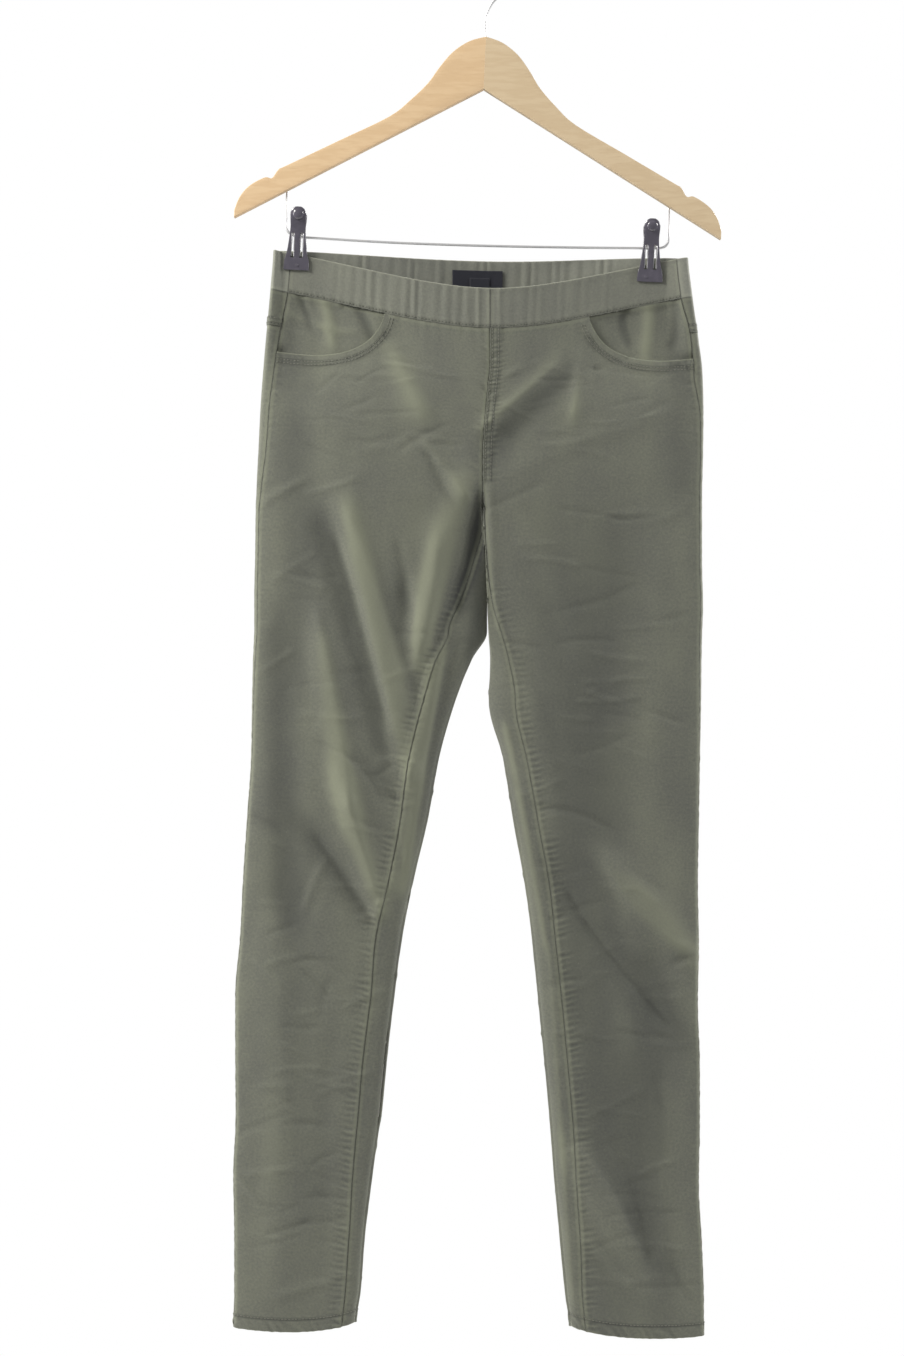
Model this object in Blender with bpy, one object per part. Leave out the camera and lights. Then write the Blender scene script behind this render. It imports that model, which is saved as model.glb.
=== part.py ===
"""Pull-on jeans held by two clips on the bar of a flat wooden hanger.

The origin is the seat of the hanger's hook, +Z is up, -Y is the front and +X is the wearer's left.
Named sizes are millimetres and become metres through MM. Each cloth piece is a wall with a gap at
its seams, cut from one garment surface: skin(side, turn, level).

turn runs round half the garment: 0 is the outer fold, 0 to 1 the front, 1 to 2 the inner side of
the thigh, 2 to 3 the back, and 3 is the outer fold again. level is the distance below the hook's
seat, before the waist's dip and the garment's lean are added.
"""

import bisect
import functools
import math

import bmesh
import bpy
from mathutils import Matrix, Vector

MM = 0.001
GAP = 0.3  # between two pieces

# --- garment: levels below the hook's seat ---
BAND_TOP = 275.0
WAIST_SEAM = 311.0
FORK = 491.4
HEM = 1258.0
CROTCH_RISE = 30.0  # height over which the crotch seam climbs from front to back
WAIST_DIP_FRONT = 33.0
WAIST_DIP_BACK = 4.5
DIP_FADE = 145.0
LEAN = 0.018  # the garment hangs lower on the wearer's left
HEM_RISE_INNER = 9.0
HEM_RISE_OUTER = 3.0
HEM_DEPTH = 13.0

# --- cloth ---
WALL = 1.2
BAND_WALL = 1.7
HEM_WALL = 2.2
FACING_WALL = 1.0
BASE_FRONT = 3.0  # least distance of the front's skin from the middle plane
BASE_BACK = 1.7
TIP_TURN = 0.12  # part of a turn that rounds the outer fold
PINCH_LOOP = 0.25
PINCH_FLAT = 14.0  # flat on either side of a clip
PINCH_FADE = 125.0
PINCH_POWER = 1.3
INNER_BULGE = 2.0
LEG_FREE = 600.0  # level at which the legs begin to part
LEG_FREE_RUN = 60.0
FOLD_EASE = 0.3  # part of a turn over which folds die out toward an edge
HEM_RISE_RUN = 90.0
NORMAL_REACH = 1.2  # distance to either side over which a normal is taken
RIPPLE_PITCH = 8.4
RIPPLE_HEIGHT = 0.5
RIPPLE_FADE = 24.0
FRONT_GATHERS = (-126.0, 106.0)  # from x to x
BACK_GATHERS = (-146.0, 126.0)

# --- scoop pockets, yoke and back pockets ---
MOUTH_DEPTH = 55.6
MOUTH_SHARE = 0.495
MOUTH_COLUMNS = (0.0, 0.26, 0.5, 0.7, 0.84, 0.93, 0.98, 1.0)  # shares of the mouth's width
FACING_LAP = 14.0
FACING_CLEAR = 0.7
FACING_REACH = 1.1  # width of the facing against the mouth's
FACING_CURVE = 1.12  # width of the curve that its lower edge follows
YOKE_SIDE = 32.0
YOKE_CENTRE = 62.0
POCKET_TOP = 402.0
POCKET_SIDE_DEPTH = 108.0
POCKET_POINT_DEPTH = 124.0
POCKET_TURNS = (2.27, 2.63)
POCKET_NARROW = 0.03  # turn lost on each side toward the foot
POCKET_WALL = 1.2
POCKET_LIFT = 0.7  # clears the panel's facets under it

# --- label and size tab, inside the back waistband ---
LABEL_MIDDLE = -7.7
LABEL_WIDTH = 46.0
LABEL_TOP = 9.0
LABEL_DEPTH = 24.0
LABEL_WALL = 0.6
LABEL_CLEAR = RIPPLE_HEIGHT + GAP
TAB_WIDTH = 18.0
TAB_TOP = 16.0
TAB_DEPTH = 24.0

# Each row: level, outer edge x, inner edge x, front depth, back depth, how far the leg has closed
# into a tube, side seam's distance in from the outer edge, inseam's distance in from the inner edge.
COLUMNS = ("level", "outer", "inner", "front", "back", "close", "side_seam", "inseam")
SECTIONS = {
    "right": (
        (271.0, -193.5, 3.6, 17.0, 15.0, 0.00, 16.0, 0.0),
        (307.5, -196.0, 3.6, 17.0, 16.0, 0.00, 16.0, 0.0),
        (344.0, -199.3, 3.6, 18.0, 17.5, 0.00, 12.7, 0.0),
        (380.5, -202.5, 1.4, 19.5, 20.0, 0.00, 10.5, 0.0),
        (417.0, -205.2, -0.9, 20.0, 22.0, 0.00, 8.6, 0.0),
        (453.0, -207.0, -2.9, 20.0, 22.5, 0.00, 7.7, 0.0),
        (491.4, -208.9, -3.2, 19.0, 22.0, 0.00, 5.0, 0.0),
        (517.0, -209.8, -2.2, 18.0, 21.0, 0.25, 3.4, 0.6),
        (553.0, -210.2, -0.6, 17.0, 20.0, 0.50, 3.2, 10.0),
        (590.0, -211.0, 0.9, 16.0, 18.0, 0.68, 3.2, 24.0),
        (619.0, -211.0, 1.0, 15.0, 17.0, 0.80, 3.0, 35.0),
        (644.0, -212.0, -12.7, 14.5, 16.5, 0.85, 2.5, 31.4),
        (680.5, -212.9, -27.3, 14.0, 16.0, 0.85, 1.8, 27.5),
        (735.0, -213.9, -42.8, 13.0, 15.0, 0.85, 1.2, 25.5),
        (790.0, -217.5, -52.8, 12.0, 14.0, 0.85, 1.0, 23.3),
        (844.5, -221.1, -65.5, 11.5, 13.5, 0.85, 1.0, 21.0),
        (899.0, -223.9, -76.4, 11.0, 13.0, 0.85, 1.0, 22.3),
        (954.0, -228.4, -83.7, 10.5, 12.0, 0.85, 1.0, 19.6),
        (1008.0, -228.4, -90.5, 10.0, 11.0, 0.85, 1.0, 19.6),
        (1063.0, -228.0, -96.0, 9.5, 10.5, 0.85, 1.0, 19.0),
        (1117.5, -230.2, -103.7, 9.0, 10.0, 0.85, 1.0, 16.0),
        (1172.0, -229.3, -110.1, 8.5, 9.5, 0.85, 1.0, 12.9),
        (1227.0, -229.3, -113.8, 8.5, 9.5, 0.85, 1.0, 12.6),
        (1258.5, -230.2, -117.8, 8.5, 9.5, 0.85, 1.0, 11.5),
    ),
    "left": (
        (271.0, 183.8, 3.6, 17.0, 15.0, 0.00, 10.6, 0.0),
        (307.5, 187.5, 3.6, 17.0, 16.0, 0.00, 10.6, 0.0),
        (344.0, 192.5, 3.6, 18.0, 17.5, 0.00, 6.8, 0.0),
        (380.5, 197.0, 1.4, 19.5, 20.0, 0.00, 8.4, 0.0),
        (417.0, 197.9, -0.9, 20.0, 22.0, 0.00, 3.8, 0.0),
        (453.0, 197.5, -2.9, 20.0, 22.5, 0.00, 2.8, 0.0),
        (491.4, 196.6, -3.2, 19.0, 22.0, 0.00, 2.7, 0.0),
        (517.0, 196.6, -2.2, 18.5, 21.0, 0.12, 2.7, 0.6),
        (553.0, 196.6, -0.6, 18.0, 20.0, 0.24, 2.7, 1.5),
        (590.0, 197.5, 0.9, 17.0, 18.5, 0.38, 2.7, 4.5),
        (619.0, 196.6, 2.0, 16.0, 17.5, 0.55, 2.7, 11.5),
        (644.0, 196.1, 3.6, 15.5, 17.0, 0.70, 2.5, 15.6),
        (680.5, 195.7, 2.3, 14.5, 16.0, 0.80, 2.0, 22.5),
        (735.0, 194.7, 15.5, 13.0, 15.0, 0.85, 1.2, 20.0),
        (790.0, 193.8, 24.6, 12.0, 14.0, 0.85, 1.0, 20.9),
        (844.5, 192.9, 34.6, 11.5, 13.5, 0.85, 1.0, 20.9),
        (899.0, 193.8, 41.9, 11.0, 13.0, 0.85, 1.0, 19.6),
        (954.0, 192.9, 47.3, 10.5, 12.0, 0.85, 1.0, 20.0),
        (1008.0, 194.7, 52.8, 10.0, 11.0, 0.85, 1.0, 19.6),
        (1063.0, 194.7, 57.8, 9.5, 10.5, 0.85, 1.0, 19.5),
        (1117.5, 193.8, 61.9, 9.0, 10.0, 0.85, 1.0, 18.4),
        (1172.0, 196.6, 67.3, 8.5, 9.5, 0.85, 1.0, 16.8),
        (1227.0, 198.4, 71.9, 8.5, 9.5, 0.85, 1.0, 14.0),
        (1258.5, 198.4, 75.5, 8.5, 9.5, 0.85, 1.0, 13.0),
    ),
}

# Each row is a fold: face, start (x, level), end (x, level), half width, height out of the cloth.
FOLDS = (
    ("front", (-124.0, 520.0), (-72.0, 683.0), 14.0, 3.6),
    ("front", (-140.0, 544.0), (-97.0, 692.0), 12.0, -3.0),
    ("front", (-45.0, 544.0), (-62.0, 650.0), 12.0, 3.0),
    ("front", (-150.0, 613.0), (-124.0, 776.0), 15.0, 3.6),
    ("front", (-124.0, 776.0), (-98.0, 862.0), 14.0, 3.4),
    ("front", (-152.0, 812.0), (-108.0, 876.0), 13.0, -3.2),
    ("front", (72.0, 858.0), (164.0, 972.0), 15.0, -3.4),
    ("front", (112.0, 832.0), (190.0, 908.0), 14.0, 3.2),
    ("front", (86.0, 1108.0), (136.0, 1184.0), 13.0, 2.6),
    ("front", (118.0, 1086.0), (150.0, 1178.0), 12.0, -2.6),
    ("front", (108.0, 372.0), (14.0, 424.0), 15.0, 2.8),
    ("front", (-86.0, 352.0), (-58.0, 412.0), 14.0, 2.4),
    ("back", (-150.0, 590.0), (-60.0, 505.0), 16.0, 3.4),
    ("back", (150.0, 600.0), (62.0, 512.0), 16.0, 3.4),
    ("back", (-190.0, 840.0), (-84.0, 792.0), 15.0, 3.0),
    ("back", (170.0, 806.0), (60.0, 850.0), 15.0, 3.0),
    ("back", (-196.0, 700.0), (-70.0, 742.0), 15.0, -2.8),
    ("back", (176.0, 905.0), (72.0, 940.0), 15.0, -2.6),
)

LEG_LEVELS = (
    500.0, 512.0, 530.0, 555.0, 585.0, 612.0, 632.0, 655.0, 690.0, 730.0, 770.0, 810.0, 850.0, 890.0,
    930.0, 970.0, 1010.0, 1050.0, 1090.0, 1130.0, 1170.0, 1210.0, HEM - HEM_DEPTH - 2.0,
    HEM - HEM_DEPTH + 1.0, HEM,
)
TORSO_LEVELS = (WAIST_SEAM, 321.0, 333.0, 347.0, 363.0, 381.0, 401.0, 422.0, 443.0)
FORK_LEVELS = (461.4, 468.0, 474.0, 480.0, 486.0, FORK)
LENGTH_SAMPLES = 48  # steps in which a level's length is measured
OUTER_FOLD_TURNS = (2.93, 2.97, 3.0)  # columns that round the outer fold
BAND_SAMPLES = 900
BAND_PITCH = 7.0
BAND_FOLD_PITCH = 2.4  # columns round the outer fold
BAND_FOLD_TURN = 0.22

# --- hanger, in its own frame before the tilt: distance out from the middle, depth below the peak ---
HANGER_TILT = math.radians(2.576)
PEAK_DROP = 78.0
WOOD_THICKNESS = 11.0
WOOD_EDGE = 2.0
ARM_TOP = (
    (0.15, 0.0), (15.0, 4.8), (29.5, 15.2), (41.0, 29.6), (50.8, 44.4), (66.0, 60.5), (85.0, 76.7),
    (130.0, 100.7), (176.0, 125.2), (183.0, 128.9), (188.5, 137.0), (194.5, 136.6), (204.0, 141.5),
    (212.0, 148.0), (218.0, 157.0), (221.5, 167.5),
)
ARM_UNDER_START = 47.4
ARM_UNDER_SLOPE = 0.5725
HOOK_RADIUS = 1.3
BAR_RADIUS = 1.1
CLIP_MIDDLE_Y = -0.65

# --- clips: place of the bar in the clip, and the levers' shape by height above the bar ---
CLIPS = {"right": (-171.3, -259.0), "left": (150.0, -269.8)}
JAW_HALF_GAP = 2.65
LEVER_WALL = 1.6
LEVER_ROWS = (  # height above the bar, half width, distance of the inner face from the middle
    (26.0, 3.6, 8.6), (24.6, 5.6, 8.3), (21.5, 7.1, 7.9), (16.0, 7.2, 7.1), (9.0, 6.6, 6.0),
    (2.3, 7.0, 5.0), (-5.0, 7.8, 4.5), (-12.0, 8.7, 3.5), (-19.6, 10.2, JAW_HALF_GAP),
    (-22.0, 11.3, JAW_HALF_GAP), (-31.0, 11.7, JAW_HALF_GAP),
)
SLOT_INNER = 2.4
SLOT_OUTER = 5.7
SLOT_ROWS = (5, 6, 7)
SPRING_ROUTE = ((3.0, -11.0), (3.25, -8.0), (3.3, -4.0), (2.9, -0.8), (2.2, 0.9), (1.2, 1.95), (0.0, 2.3))
SPRING_HALF_WIDTH = 1.5
SPRING_WALL = 0.6


def smooth(value):
    """Returns 0 below 0, 1 above 1 and a soft step between."""
    value = min(1.0, max(0.0, value))
    return value * value * (3.0 - 2.0 * value)


def quarter(value):
    """Returns the sine of a quarter circle, flat at 1."""
    return math.sin(0.5 * math.pi * min(1.0, max(0.0, value)))


def knot_slope(rows, knot, index):
    """Returns a column's slope at a row: none at a peak, so that the curve never swings past a row."""
    if knot in (0, len(rows) - 1):
        return 0.0
    level = rows[knot][0]
    before = (rows[knot][index] - rows[knot - 1][index]) / (level - rows[knot - 1][0])
    after = (rows[knot + 1][index] - rows[knot][index]) / (rows[knot + 1][0] - level)
    if before * after <= 0.0:
        return 0.0
    return 2.0 * before * after / (before + after)


@functools.lru_cache(maxsize=None)
def section(side, level):
    """Returns one half's sizes at a level, by a smooth curve through the rows of SECTIONS."""
    rows = SECTIONS[side]
    levels = [row[0] for row in rows]
    level = min(levels[-1], max(levels[0], level))
    last = min(len(rows) - 2, max(0, bisect.bisect_right(levels, level) - 1))
    span = levels[last + 1] - levels[last]
    part = (level - levels[last]) / span
    result = {}
    for index, name in enumerate(COLUMNS):
        slopes = [knot_slope(rows, knot, index) for knot in (last, last + 1)]
        start = rows[last][index]
        end = rows[last + 1][index]
        result[name] = (
            start * (1.0 - part) ** 2 * (1.0 + 2.0 * part)
            + end * part ** 2 * (3.0 - 2.0 * part)
            + slopes[0] * span * part * (1.0 - part) ** 2
            - slopes[1] * span * part ** 2 * (1.0 - part)
        )
    return result


def across(turn, close):
    """Returns the share of the width reached on the front or back at a turn from 0 to 1."""
    torso = 1.0 - math.cos(0.5 * math.pi * turn)
    tube = 0.5 * (1.0 - math.cos(math.pi * turn))
    return (1.0 - close) * torso + close * tube


def turn_at(share, close):
    """Returns the turn at which the front has reached a share of the width."""
    low = 0.0
    high = 1.0
    for _ in range(40):
        middle = 0.5 * (low + high)
        if across(middle, close) < share:
            low = middle
        else:
            high = middle
    return 0.5 * (low + high)


def pinch(side, row, share):
    """Returns the waist's depth across its width: a loop, flat at the clip, then a lens to the middle."""
    width = abs(row["inner"] - row["outer"])
    clip_inset = abs(CLIPS[side][0] - row["outer"])
    flat_start = (clip_inset - PINCH_FLAT) / width
    flat_end = (clip_inset + PINCH_FLAT) / width
    if share < flat_start:
        return PINCH_LOOP * math.sin(math.pi * math.sqrt(max(0.0, share / flat_start)))
    if share < flat_end:
        return 0.0
    return quarter((share - flat_end) / (1.0 - flat_end)) ** PINCH_POWER


def fold_height(face, x, level):
    """Returns how far the folds of a face lift the cloth at a place."""
    total = 0.0
    for name, start, end, half_width, height in FOLDS:
        if name != face:
            continue
        run_x = end[0] - start[0]
        run_level = end[1] - start[1]
        length = math.hypot(run_x, run_level)
        along = ((x - start[0]) * run_x + (level - start[1]) * run_level) / length
        off = ((x - start[0]) * run_level - (level - start[1]) * run_x) / length
        beyond = max(0.0, -along, along - length)
        reach = (off / half_width) ** 2 + (beyond / (1.6 * half_width)) ** 2
        if reach < 9.0:
            total += height * math.exp(-reach)
    return total


def waist_dip(face, share, level):
    """Returns how far the waist hangs lower toward the middle, fading out below it."""
    profile = 0.5 * smooth(share) + 0.5 * (1.0 - (1.0 - min(1.0, share)) ** 1.7)
    fade = 1.0 - smooth((level - WAIST_SEAM) / DIP_FADE)
    dip = WAIST_DIP_FRONT if face == "front" else WAIST_DIP_BACK
    return dip * profile * fade


def hem_rise(share, level):
    """Returns how far the hem lies higher toward the inner and outer folds."""
    fade = smooth((level - HEM + HEM_RISE_RUN) / HEM_RISE_RUN)
    return -fade * (HEM_RISE_INNER * share ** 4 + HEM_RISE_OUTER * (1.0 - share) ** 4)


def edge_ease(turn, close, reach):
    """Returns 1 on a face, and 0 at its outer fold and at the inner fold of a closed leg."""
    return quarter(turn / reach) * (1.0 - close * (1.0 - quarter((1.0 - turn) / reach)))


def parted(level):
    """Returns how far the legs have come apart at a level."""
    return smooth((level - LEG_FREE) / LEG_FREE_RUN)


def face_point(side, face, turn, level):
    """Returns x, distance from the middle plane and drop of the front or back at a turn from 0 to 1."""
    row = section(side, level)
    share = across(turn, row["close"])
    inward = 1.0 if side == "right" else -1.0
    inner = row["inner"] - inward * (INNER_BULGE * parted(level) + 0.5 * GAP)
    x = row["outer"] + (inner - row["outer"]) * share
    tube = (1.0 - row["close"]) * quarter(turn) + row["close"] * math.sin(math.pi * min(1.0, turn))
    hung = smooth((level - WAIST_SEAM) / PINCH_FADE)
    shape = (1.0 - hung) * pinch(side, row, share) + hung * tube
    base = BASE_FRONT if face == "front" else BASE_BACK
    tip = edge_ease(turn, row["close"], TIP_TURN)
    folds = edge_ease(turn, row["close"], FOLD_EASE) * hung * fold_height(face, x, level)
    distance = base * tip + row[face] * shape + folds
    drop = level + LEAN * x + waist_dip(face, share, level) + hem_rise(share, level)
    return x, distance, drop


def skin(side, turn, level):
    """Returns the outer surface's point in millimetres."""
    if turn > 3.0:
        turn -= 3.0
    if turn < 0.0:
        turn += 3.0
    if turn <= 1.0:
        x, distance, drop = face_point(side, "front", turn, level)
        return Vector((x, -distance, -drop))
    if turn >= 2.0:
        x, distance, drop = face_point(side, "back", 3.0 - turn, level)
        return Vector((x, distance, -drop))
    front_x, front_distance, front_drop = face_point(side, "front", 1.0, level)
    _, back_distance, back_drop = face_point(side, "back", 1.0, level)
    part = turn - 1.0
    inward = 1.0 if side == "right" else -1.0
    x = front_x + inward * INNER_BULGE * parted(level) * math.sin(math.pi * part)
    y = -front_distance + (front_distance + back_distance) * part
    return Vector((x, y, -(front_drop + (back_drop - front_drop) * part)))


def outward(side, turn, level):
    """Returns the surface's unit normal, out of the garment."""
    level_step = 3.0
    probe = 0.004
    here = skin(side, turn, level)
    ahead = probe * NORMAL_REACH / max(0.01, (skin(side, turn + probe, level) - here).length)
    behind = probe * NORMAL_REACH / max(0.01, (skin(side, turn - probe, level) - here).length)
    along_turn = skin(side, turn + min(ahead, 0.1), level) - skin(side, turn - min(behind, 0.1), level)
    along_level = skin(side, turn, level + level_step) - skin(side, turn, level - level_step)
    normal = along_level.cross(along_turn)
    if side == "left":
        normal.negate()
    return normal.normalized()


def side_seam(side, level):
    """Returns the side seam's turn, a little way in on the front."""
    row = section(side, level)
    return turn_at(row["side_seam"] / abs(row["inner"] - row["outer"]), row["close"])


def inseam(side, level):
    """Returns the inseam's turn, a little way out from the inner fold on the front."""
    row = section(side, level)
    return turn_at(1.0 - row["inseam"] / abs(row["inner"] - row["outer"]), row["close"])


def seam_step(side, turn, level, distance):
    """Returns the change of turn that moves a point by a distance in millimetres."""
    step = 0.004
    length = (skin(side, turn + step, level) - skin(side, turn - step, level)).length
    return distance * 2.0 * step / max(length, 1e-6)


def measured(side, start, end, level, shares):
    """Returns turns from start to end at given shares of the length along the surface."""
    turns = [start + (end - start) * index / LENGTH_SAMPLES for index in range(LENGTH_SAMPLES + 1)]
    points = [skin(side, turn, level) for turn in turns]
    lengths = [0.0]
    for before, after in zip(points, points[1:]):
        lengths.append(lengths[-1] + (after - before).length)
    result = []
    for share in shares:
        target = share * lengths[-1]
        last = min(len(turns) - 2, max(0, bisect.bisect_right(lengths, target) - 1))
        span = max(1e-9, lengths[last + 1] - lengths[last])
        part = (target - lengths[last]) / span
        result.append(turns[last] + (turns[last + 1] - turns[last]) * part)
    return result


def spread(side, start, end, level, count):
    """Returns count + 1 turns from start to end, evenly far apart along the surface."""
    return measured(side, start, end, level, [index / count for index in range(count + 1)])


def wall_solid(name, grid, normals, walls, material, skip=()):
    """Makes one closed wall from rows of points, moved in by its thickness on the other side."""
    mesh = bmesh.new()
    outer = [[mesh.verts.new(point * MM) for point in row] for row in grid]
    inner = []
    for points, row_normals, row_walls in zip(grid, normals, walls):
        inner.append([
            mesh.verts.new((point - normal * wall) * MM)
            for point, normal, wall in zip(points, row_normals, row_walls)
        ])
    for row in range(len(grid) - 1):
        for column in range(len(grid[0]) - 1):
            if (row, column) in skip:
                continue
            corners = ((row, column), (row + 1, column), (row + 1, column + 1), (row, column + 1))
            for half in (corners[:3], (corners[0], corners[2], corners[3])):
                mesh.faces.new([outer[a][b] for a, b in half])
                mesh.faces.new([inner[a][b] for a, b in reversed(half)])
            neighbours = ((row, column - 1), (row + 1, column), (row, column + 1), (row - 1, column))
            for index, beside in enumerate(neighbours):
                a, b = corners[index]
                c, d = corners[(index + 1) % 4]
                outside = not (0 <= beside[0] < len(grid) - 1 and 0 <= beside[1] < len(grid[0]) - 1)
                if outside or beside in skip:
                    mesh.faces.new((outer[c][d], outer[a][b], inner[a][b], inner[c][d]))
    loose = [vertex for vertex in mesh.verts if not vertex.link_faces]
    bmesh.ops.delete(mesh, geom=loose, context="VERTS")
    return finish(name, mesh, material)


def finish(name, mesh, material):
    """Turns a bmesh into a named object with its material and smooth shading."""
    bmesh.ops.recalc_face_normals(mesh, faces=mesh.faces)
    data = bpy.data.meshes.new(name)
    mesh.to_mesh(data)
    mesh.free()
    data.shade_smooth()
    data.set_sharp_from_angle(angle=math.radians(50.0))
    data.materials.append(material)
    item = bpy.data.objects.new(name, data)
    bpy.context.scene.collection.objects.link(item)
    return item


def cloth_panel(name, side, rows, wall_of_level, material, inset=0.0):
    """Makes a cloth piece of one half from rows of (turn, level), moved in by inset."""
    grid = []
    normals = []
    walls = []
    for row in rows:
        points = []
        row_normals = []
        for turn, level in row:
            normal = outward(side, turn, level)
            points.append(skin(side, turn, level) - normal * inset)
            row_normals.append(normal)
        grid.append(points)
        normals.append(row_normals)
        walls.append([wall_of_level(level) for _, level in row])
    return wall_solid(name, grid, normals, walls, material)


def leg_wall(level):
    """Returns the cloth's thickness: doubled where the hem is turned up."""
    return HEM_WALL if level > HEM - HEM_DEPTH else WALL


def mouth_drop(share):
    """Returns how far the scoop pocket's mouth lies below the waist seam at a share of its width."""
    if share >= 1.0:
        return 0.0
    return MOUTH_DEPTH * (1.0 - max(0.0, share) ** 3) ** 0.625


def front_columns():
    """Returns the front's columns as shares of its width, closer along the pocket's mouth."""
    mouth = [MOUTH_SHARE * share for share in MOUTH_COLUMNS]
    plain = [MOUTH_SHARE + (1.0 - MOUTH_SHARE) * index / 6 for index in range(1, 7)]
    return mouth + plain


def front_panel(side, material):
    """Makes a front leg panel from the waist seam and pocket mouth to the hem."""
    rows = []
    shares = front_columns()
    for level in TORSO_LEVELS + FORK_LEVELS + LEG_LEVELS:
        fade = 1.0 - smooth((level - WAIST_SEAM) / DIP_FADE)
        side_level = level + fade * MOUTH_DEPTH
        start = side_seam(side, side_level)
        start += seam_step(side, start, side_level, 0.5 * GAP)
        end = inseam(side, level) if level >= FORK else 1.0
        end -= seam_step(side, end - 0.02, level, 0.5 * GAP)
        row = []
        for turn, share in zip(measured(side, start, end, level, shares), shares):
            lowered = level + fade * (mouth_drop(share / MOUTH_SHARE) + 0.5 * GAP)
            row.append((turn, lowered))
        rows.append(row)
    return cloth_panel(f"front_panel_{side}", side, rows, leg_wall, material)


def crotch_turn(level):
    """Returns the back seam's turn: on the middle line above, round under the crotch to the fork."""
    height = (FORK - level) / CROTCH_RISE
    if height >= 1.0:
        return 2.0
    return 1.0 + math.sqrt(max(0.0, 2.0 * height - height * height))


def yoke_drop(turn):
    """Returns how far the yoke's lower seam lies below the waist seam."""
    return YOKE_SIDE + (YOKE_CENTRE - YOKE_SIDE) * min(1.0, max(0.0, 3.0 - turn))


def back_turns(side, start, level, side_level):
    """Returns the back's columns: to the inner fold, across the back, and round the outer fold."""
    end = 3.0 + side_seam(side, side_level)
    end -= seam_step(side, end, side_level, 0.5 * GAP)
    inner_fold = max(1.5, start + 0.15)
    turns = spread(side, start, inner_fold, level, 3)
    turns += spread(side, inner_fold, OUTER_FOLD_TURNS[0], level, 9)[1:]
    turns += OUTER_FOLD_TURNS[1:]
    turns += [0.5 * (3.0 + end), end]
    return turns


def back_panel(side, material):
    """Makes a back leg panel from the yoke's seam to the hem, with the inner thigh."""
    rows = []
    for level in TORSO_LEVELS + FORK_LEVELS + LEG_LEVELS:
        start = inseam(side, level) if level >= FORK else crotch_turn(level)
        start += seam_step(side, start + 0.02, level, 0.5 * GAP)
        fade = 1.0 - smooth((level - WAIST_SEAM) / DIP_FADE)
        row = []
        for turn in back_turns(side, start, level, level + fade * YOKE_SIDE):
            row.append((turn, level + fade * (yoke_drop(turn) + 0.5 * GAP)))
        rows.append(row)
    return cloth_panel(f"back_panel_{side}", side, rows, leg_wall, material)


def back_yoke(side, material):
    """Makes the back yoke between the waistband and the back panel."""
    rows = []
    for part in (0.0, 0.25, 0.5, 0.75, 1.0):
        row = []
        level = WAIST_SEAM + part * YOKE_SIDE
        start = 2.0 + seam_step(side, 2.02, level, 0.5 * GAP)
        for turn in back_turns(side, start, level, level):
            depth = yoke_drop(turn) - GAP
            row.append((turn, WAIST_SEAM + 0.5 * GAP + part * depth))
        rows.append(row)
    return cloth_panel(f"back_yoke_{side}", side, rows, lambda level: WALL, material)


def pocket_facing(side, material):
    """Makes the cloth seen in the scoop pocket's mouth, under the front panel."""
    rows = []
    shares = [MOUTH_SHARE * FACING_REACH * index / 8 for index in range(9)]
    for part in (0.0, 0.2, 0.4, 0.6, 0.8, 1.0):
        row = []
        level = WAIST_SEAM + part * (MOUTH_DEPTH + FACING_LAP)
        start = side_seam(side, level)
        start += seam_step(side, start, level, GAP)
        for turn, share in zip(measured(side, start, 1.0, level, shares), shares):
            reach = mouth_drop(share / MOUTH_SHARE / FACING_CURVE) + FACING_LAP
            row.append((turn, WAIST_SEAM + 0.5 * GAP + part * reach))
        rows.append(row)
    inset = WALL + FACING_CLEAR
    return cloth_panel(f"pocket_facing_{side}", side, rows, lambda level: FACING_WALL, material, inset)


def back_pocket(side, material):
    """Makes a patch pocket that lies on the back panel, pointed at its foot."""
    rows = []
    first, last = POCKET_TURNS
    for part in (0.0, 0.2, 0.4, 0.6, 0.8, 1.0):
        row = []
        narrow = POCKET_NARROW * part
        for index in range(9):
            share = index / 8
            to_middle = 1.0 - abs(2.0 * share - 1.0)
            foot = POCKET_SIDE_DEPTH + (POCKET_POINT_DEPTH - POCKET_SIDE_DEPTH) * to_middle
            turn = first + narrow + (last - first - 2.0 * narrow) * share
            row.append((turn, POCKET_TOP + part * foot))
        rows.append(row)
    outset = -(POCKET_WALL + POCKET_LIFT)
    return cloth_panel(f"back_pocket_{side}", side, rows, lambda level: POCKET_WALL, material, outset)


def ripple(x, gathers):
    """Returns the elastic gathers' height, fading out toward the clips."""
    mask = smooth((x - gathers[0]) / RIPPLE_FADE) * smooth((gathers[1] - x) / RIPPLE_FADE)
    return RIPPLE_HEIGHT * mask * math.sin(2.0 * math.pi * x / RIPPLE_PITCH)


def band_turns(side, level, start, end, gathers):
    """Returns the band's columns: four to each gather, close round the outer fold, wider elsewhere."""
    turns = [start]
    last = skin(side, start, level)
    for index in range(1, BAND_SAMPLES):
        turn = start + (end - start) * index / BAND_SAMPLES
        point = skin(side, turn, level)
        pitch = 0.25 * RIPPLE_PITCH if gathers[0] < point.x < gathers[1] else BAND_PITCH
        if min(turn % 3.0, 3.0 - turn % 3.0) < BAND_FOLD_TURN:
            pitch = BAND_FOLD_PITCH
        if (point - last).length >= pitch:
            turns.append(turn)
            last = point
    if (skin(side, end, level) - last).length < 1.0:
        turns.pop()
    turns.append(end)
    return turns


def band_grid(side, turns, gathers):
    """Returns a band's points and normals in three rows."""
    grid = []
    normals = []
    for level in (BAND_TOP, 0.5 * (BAND_TOP + WAIST_SEAM), WAIST_SEAM - 0.5 * GAP):
        points = []
        row_normals = []
        for turn in turns:
            normal = outward(side, turn, level)
            point = skin(side, turn, level)
            points.append(point + normal * ripple(point.x, gathers))
            row_normals.append(normal)
        grid.append(points)
        normals.append(row_normals)
    return grid, normals


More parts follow.
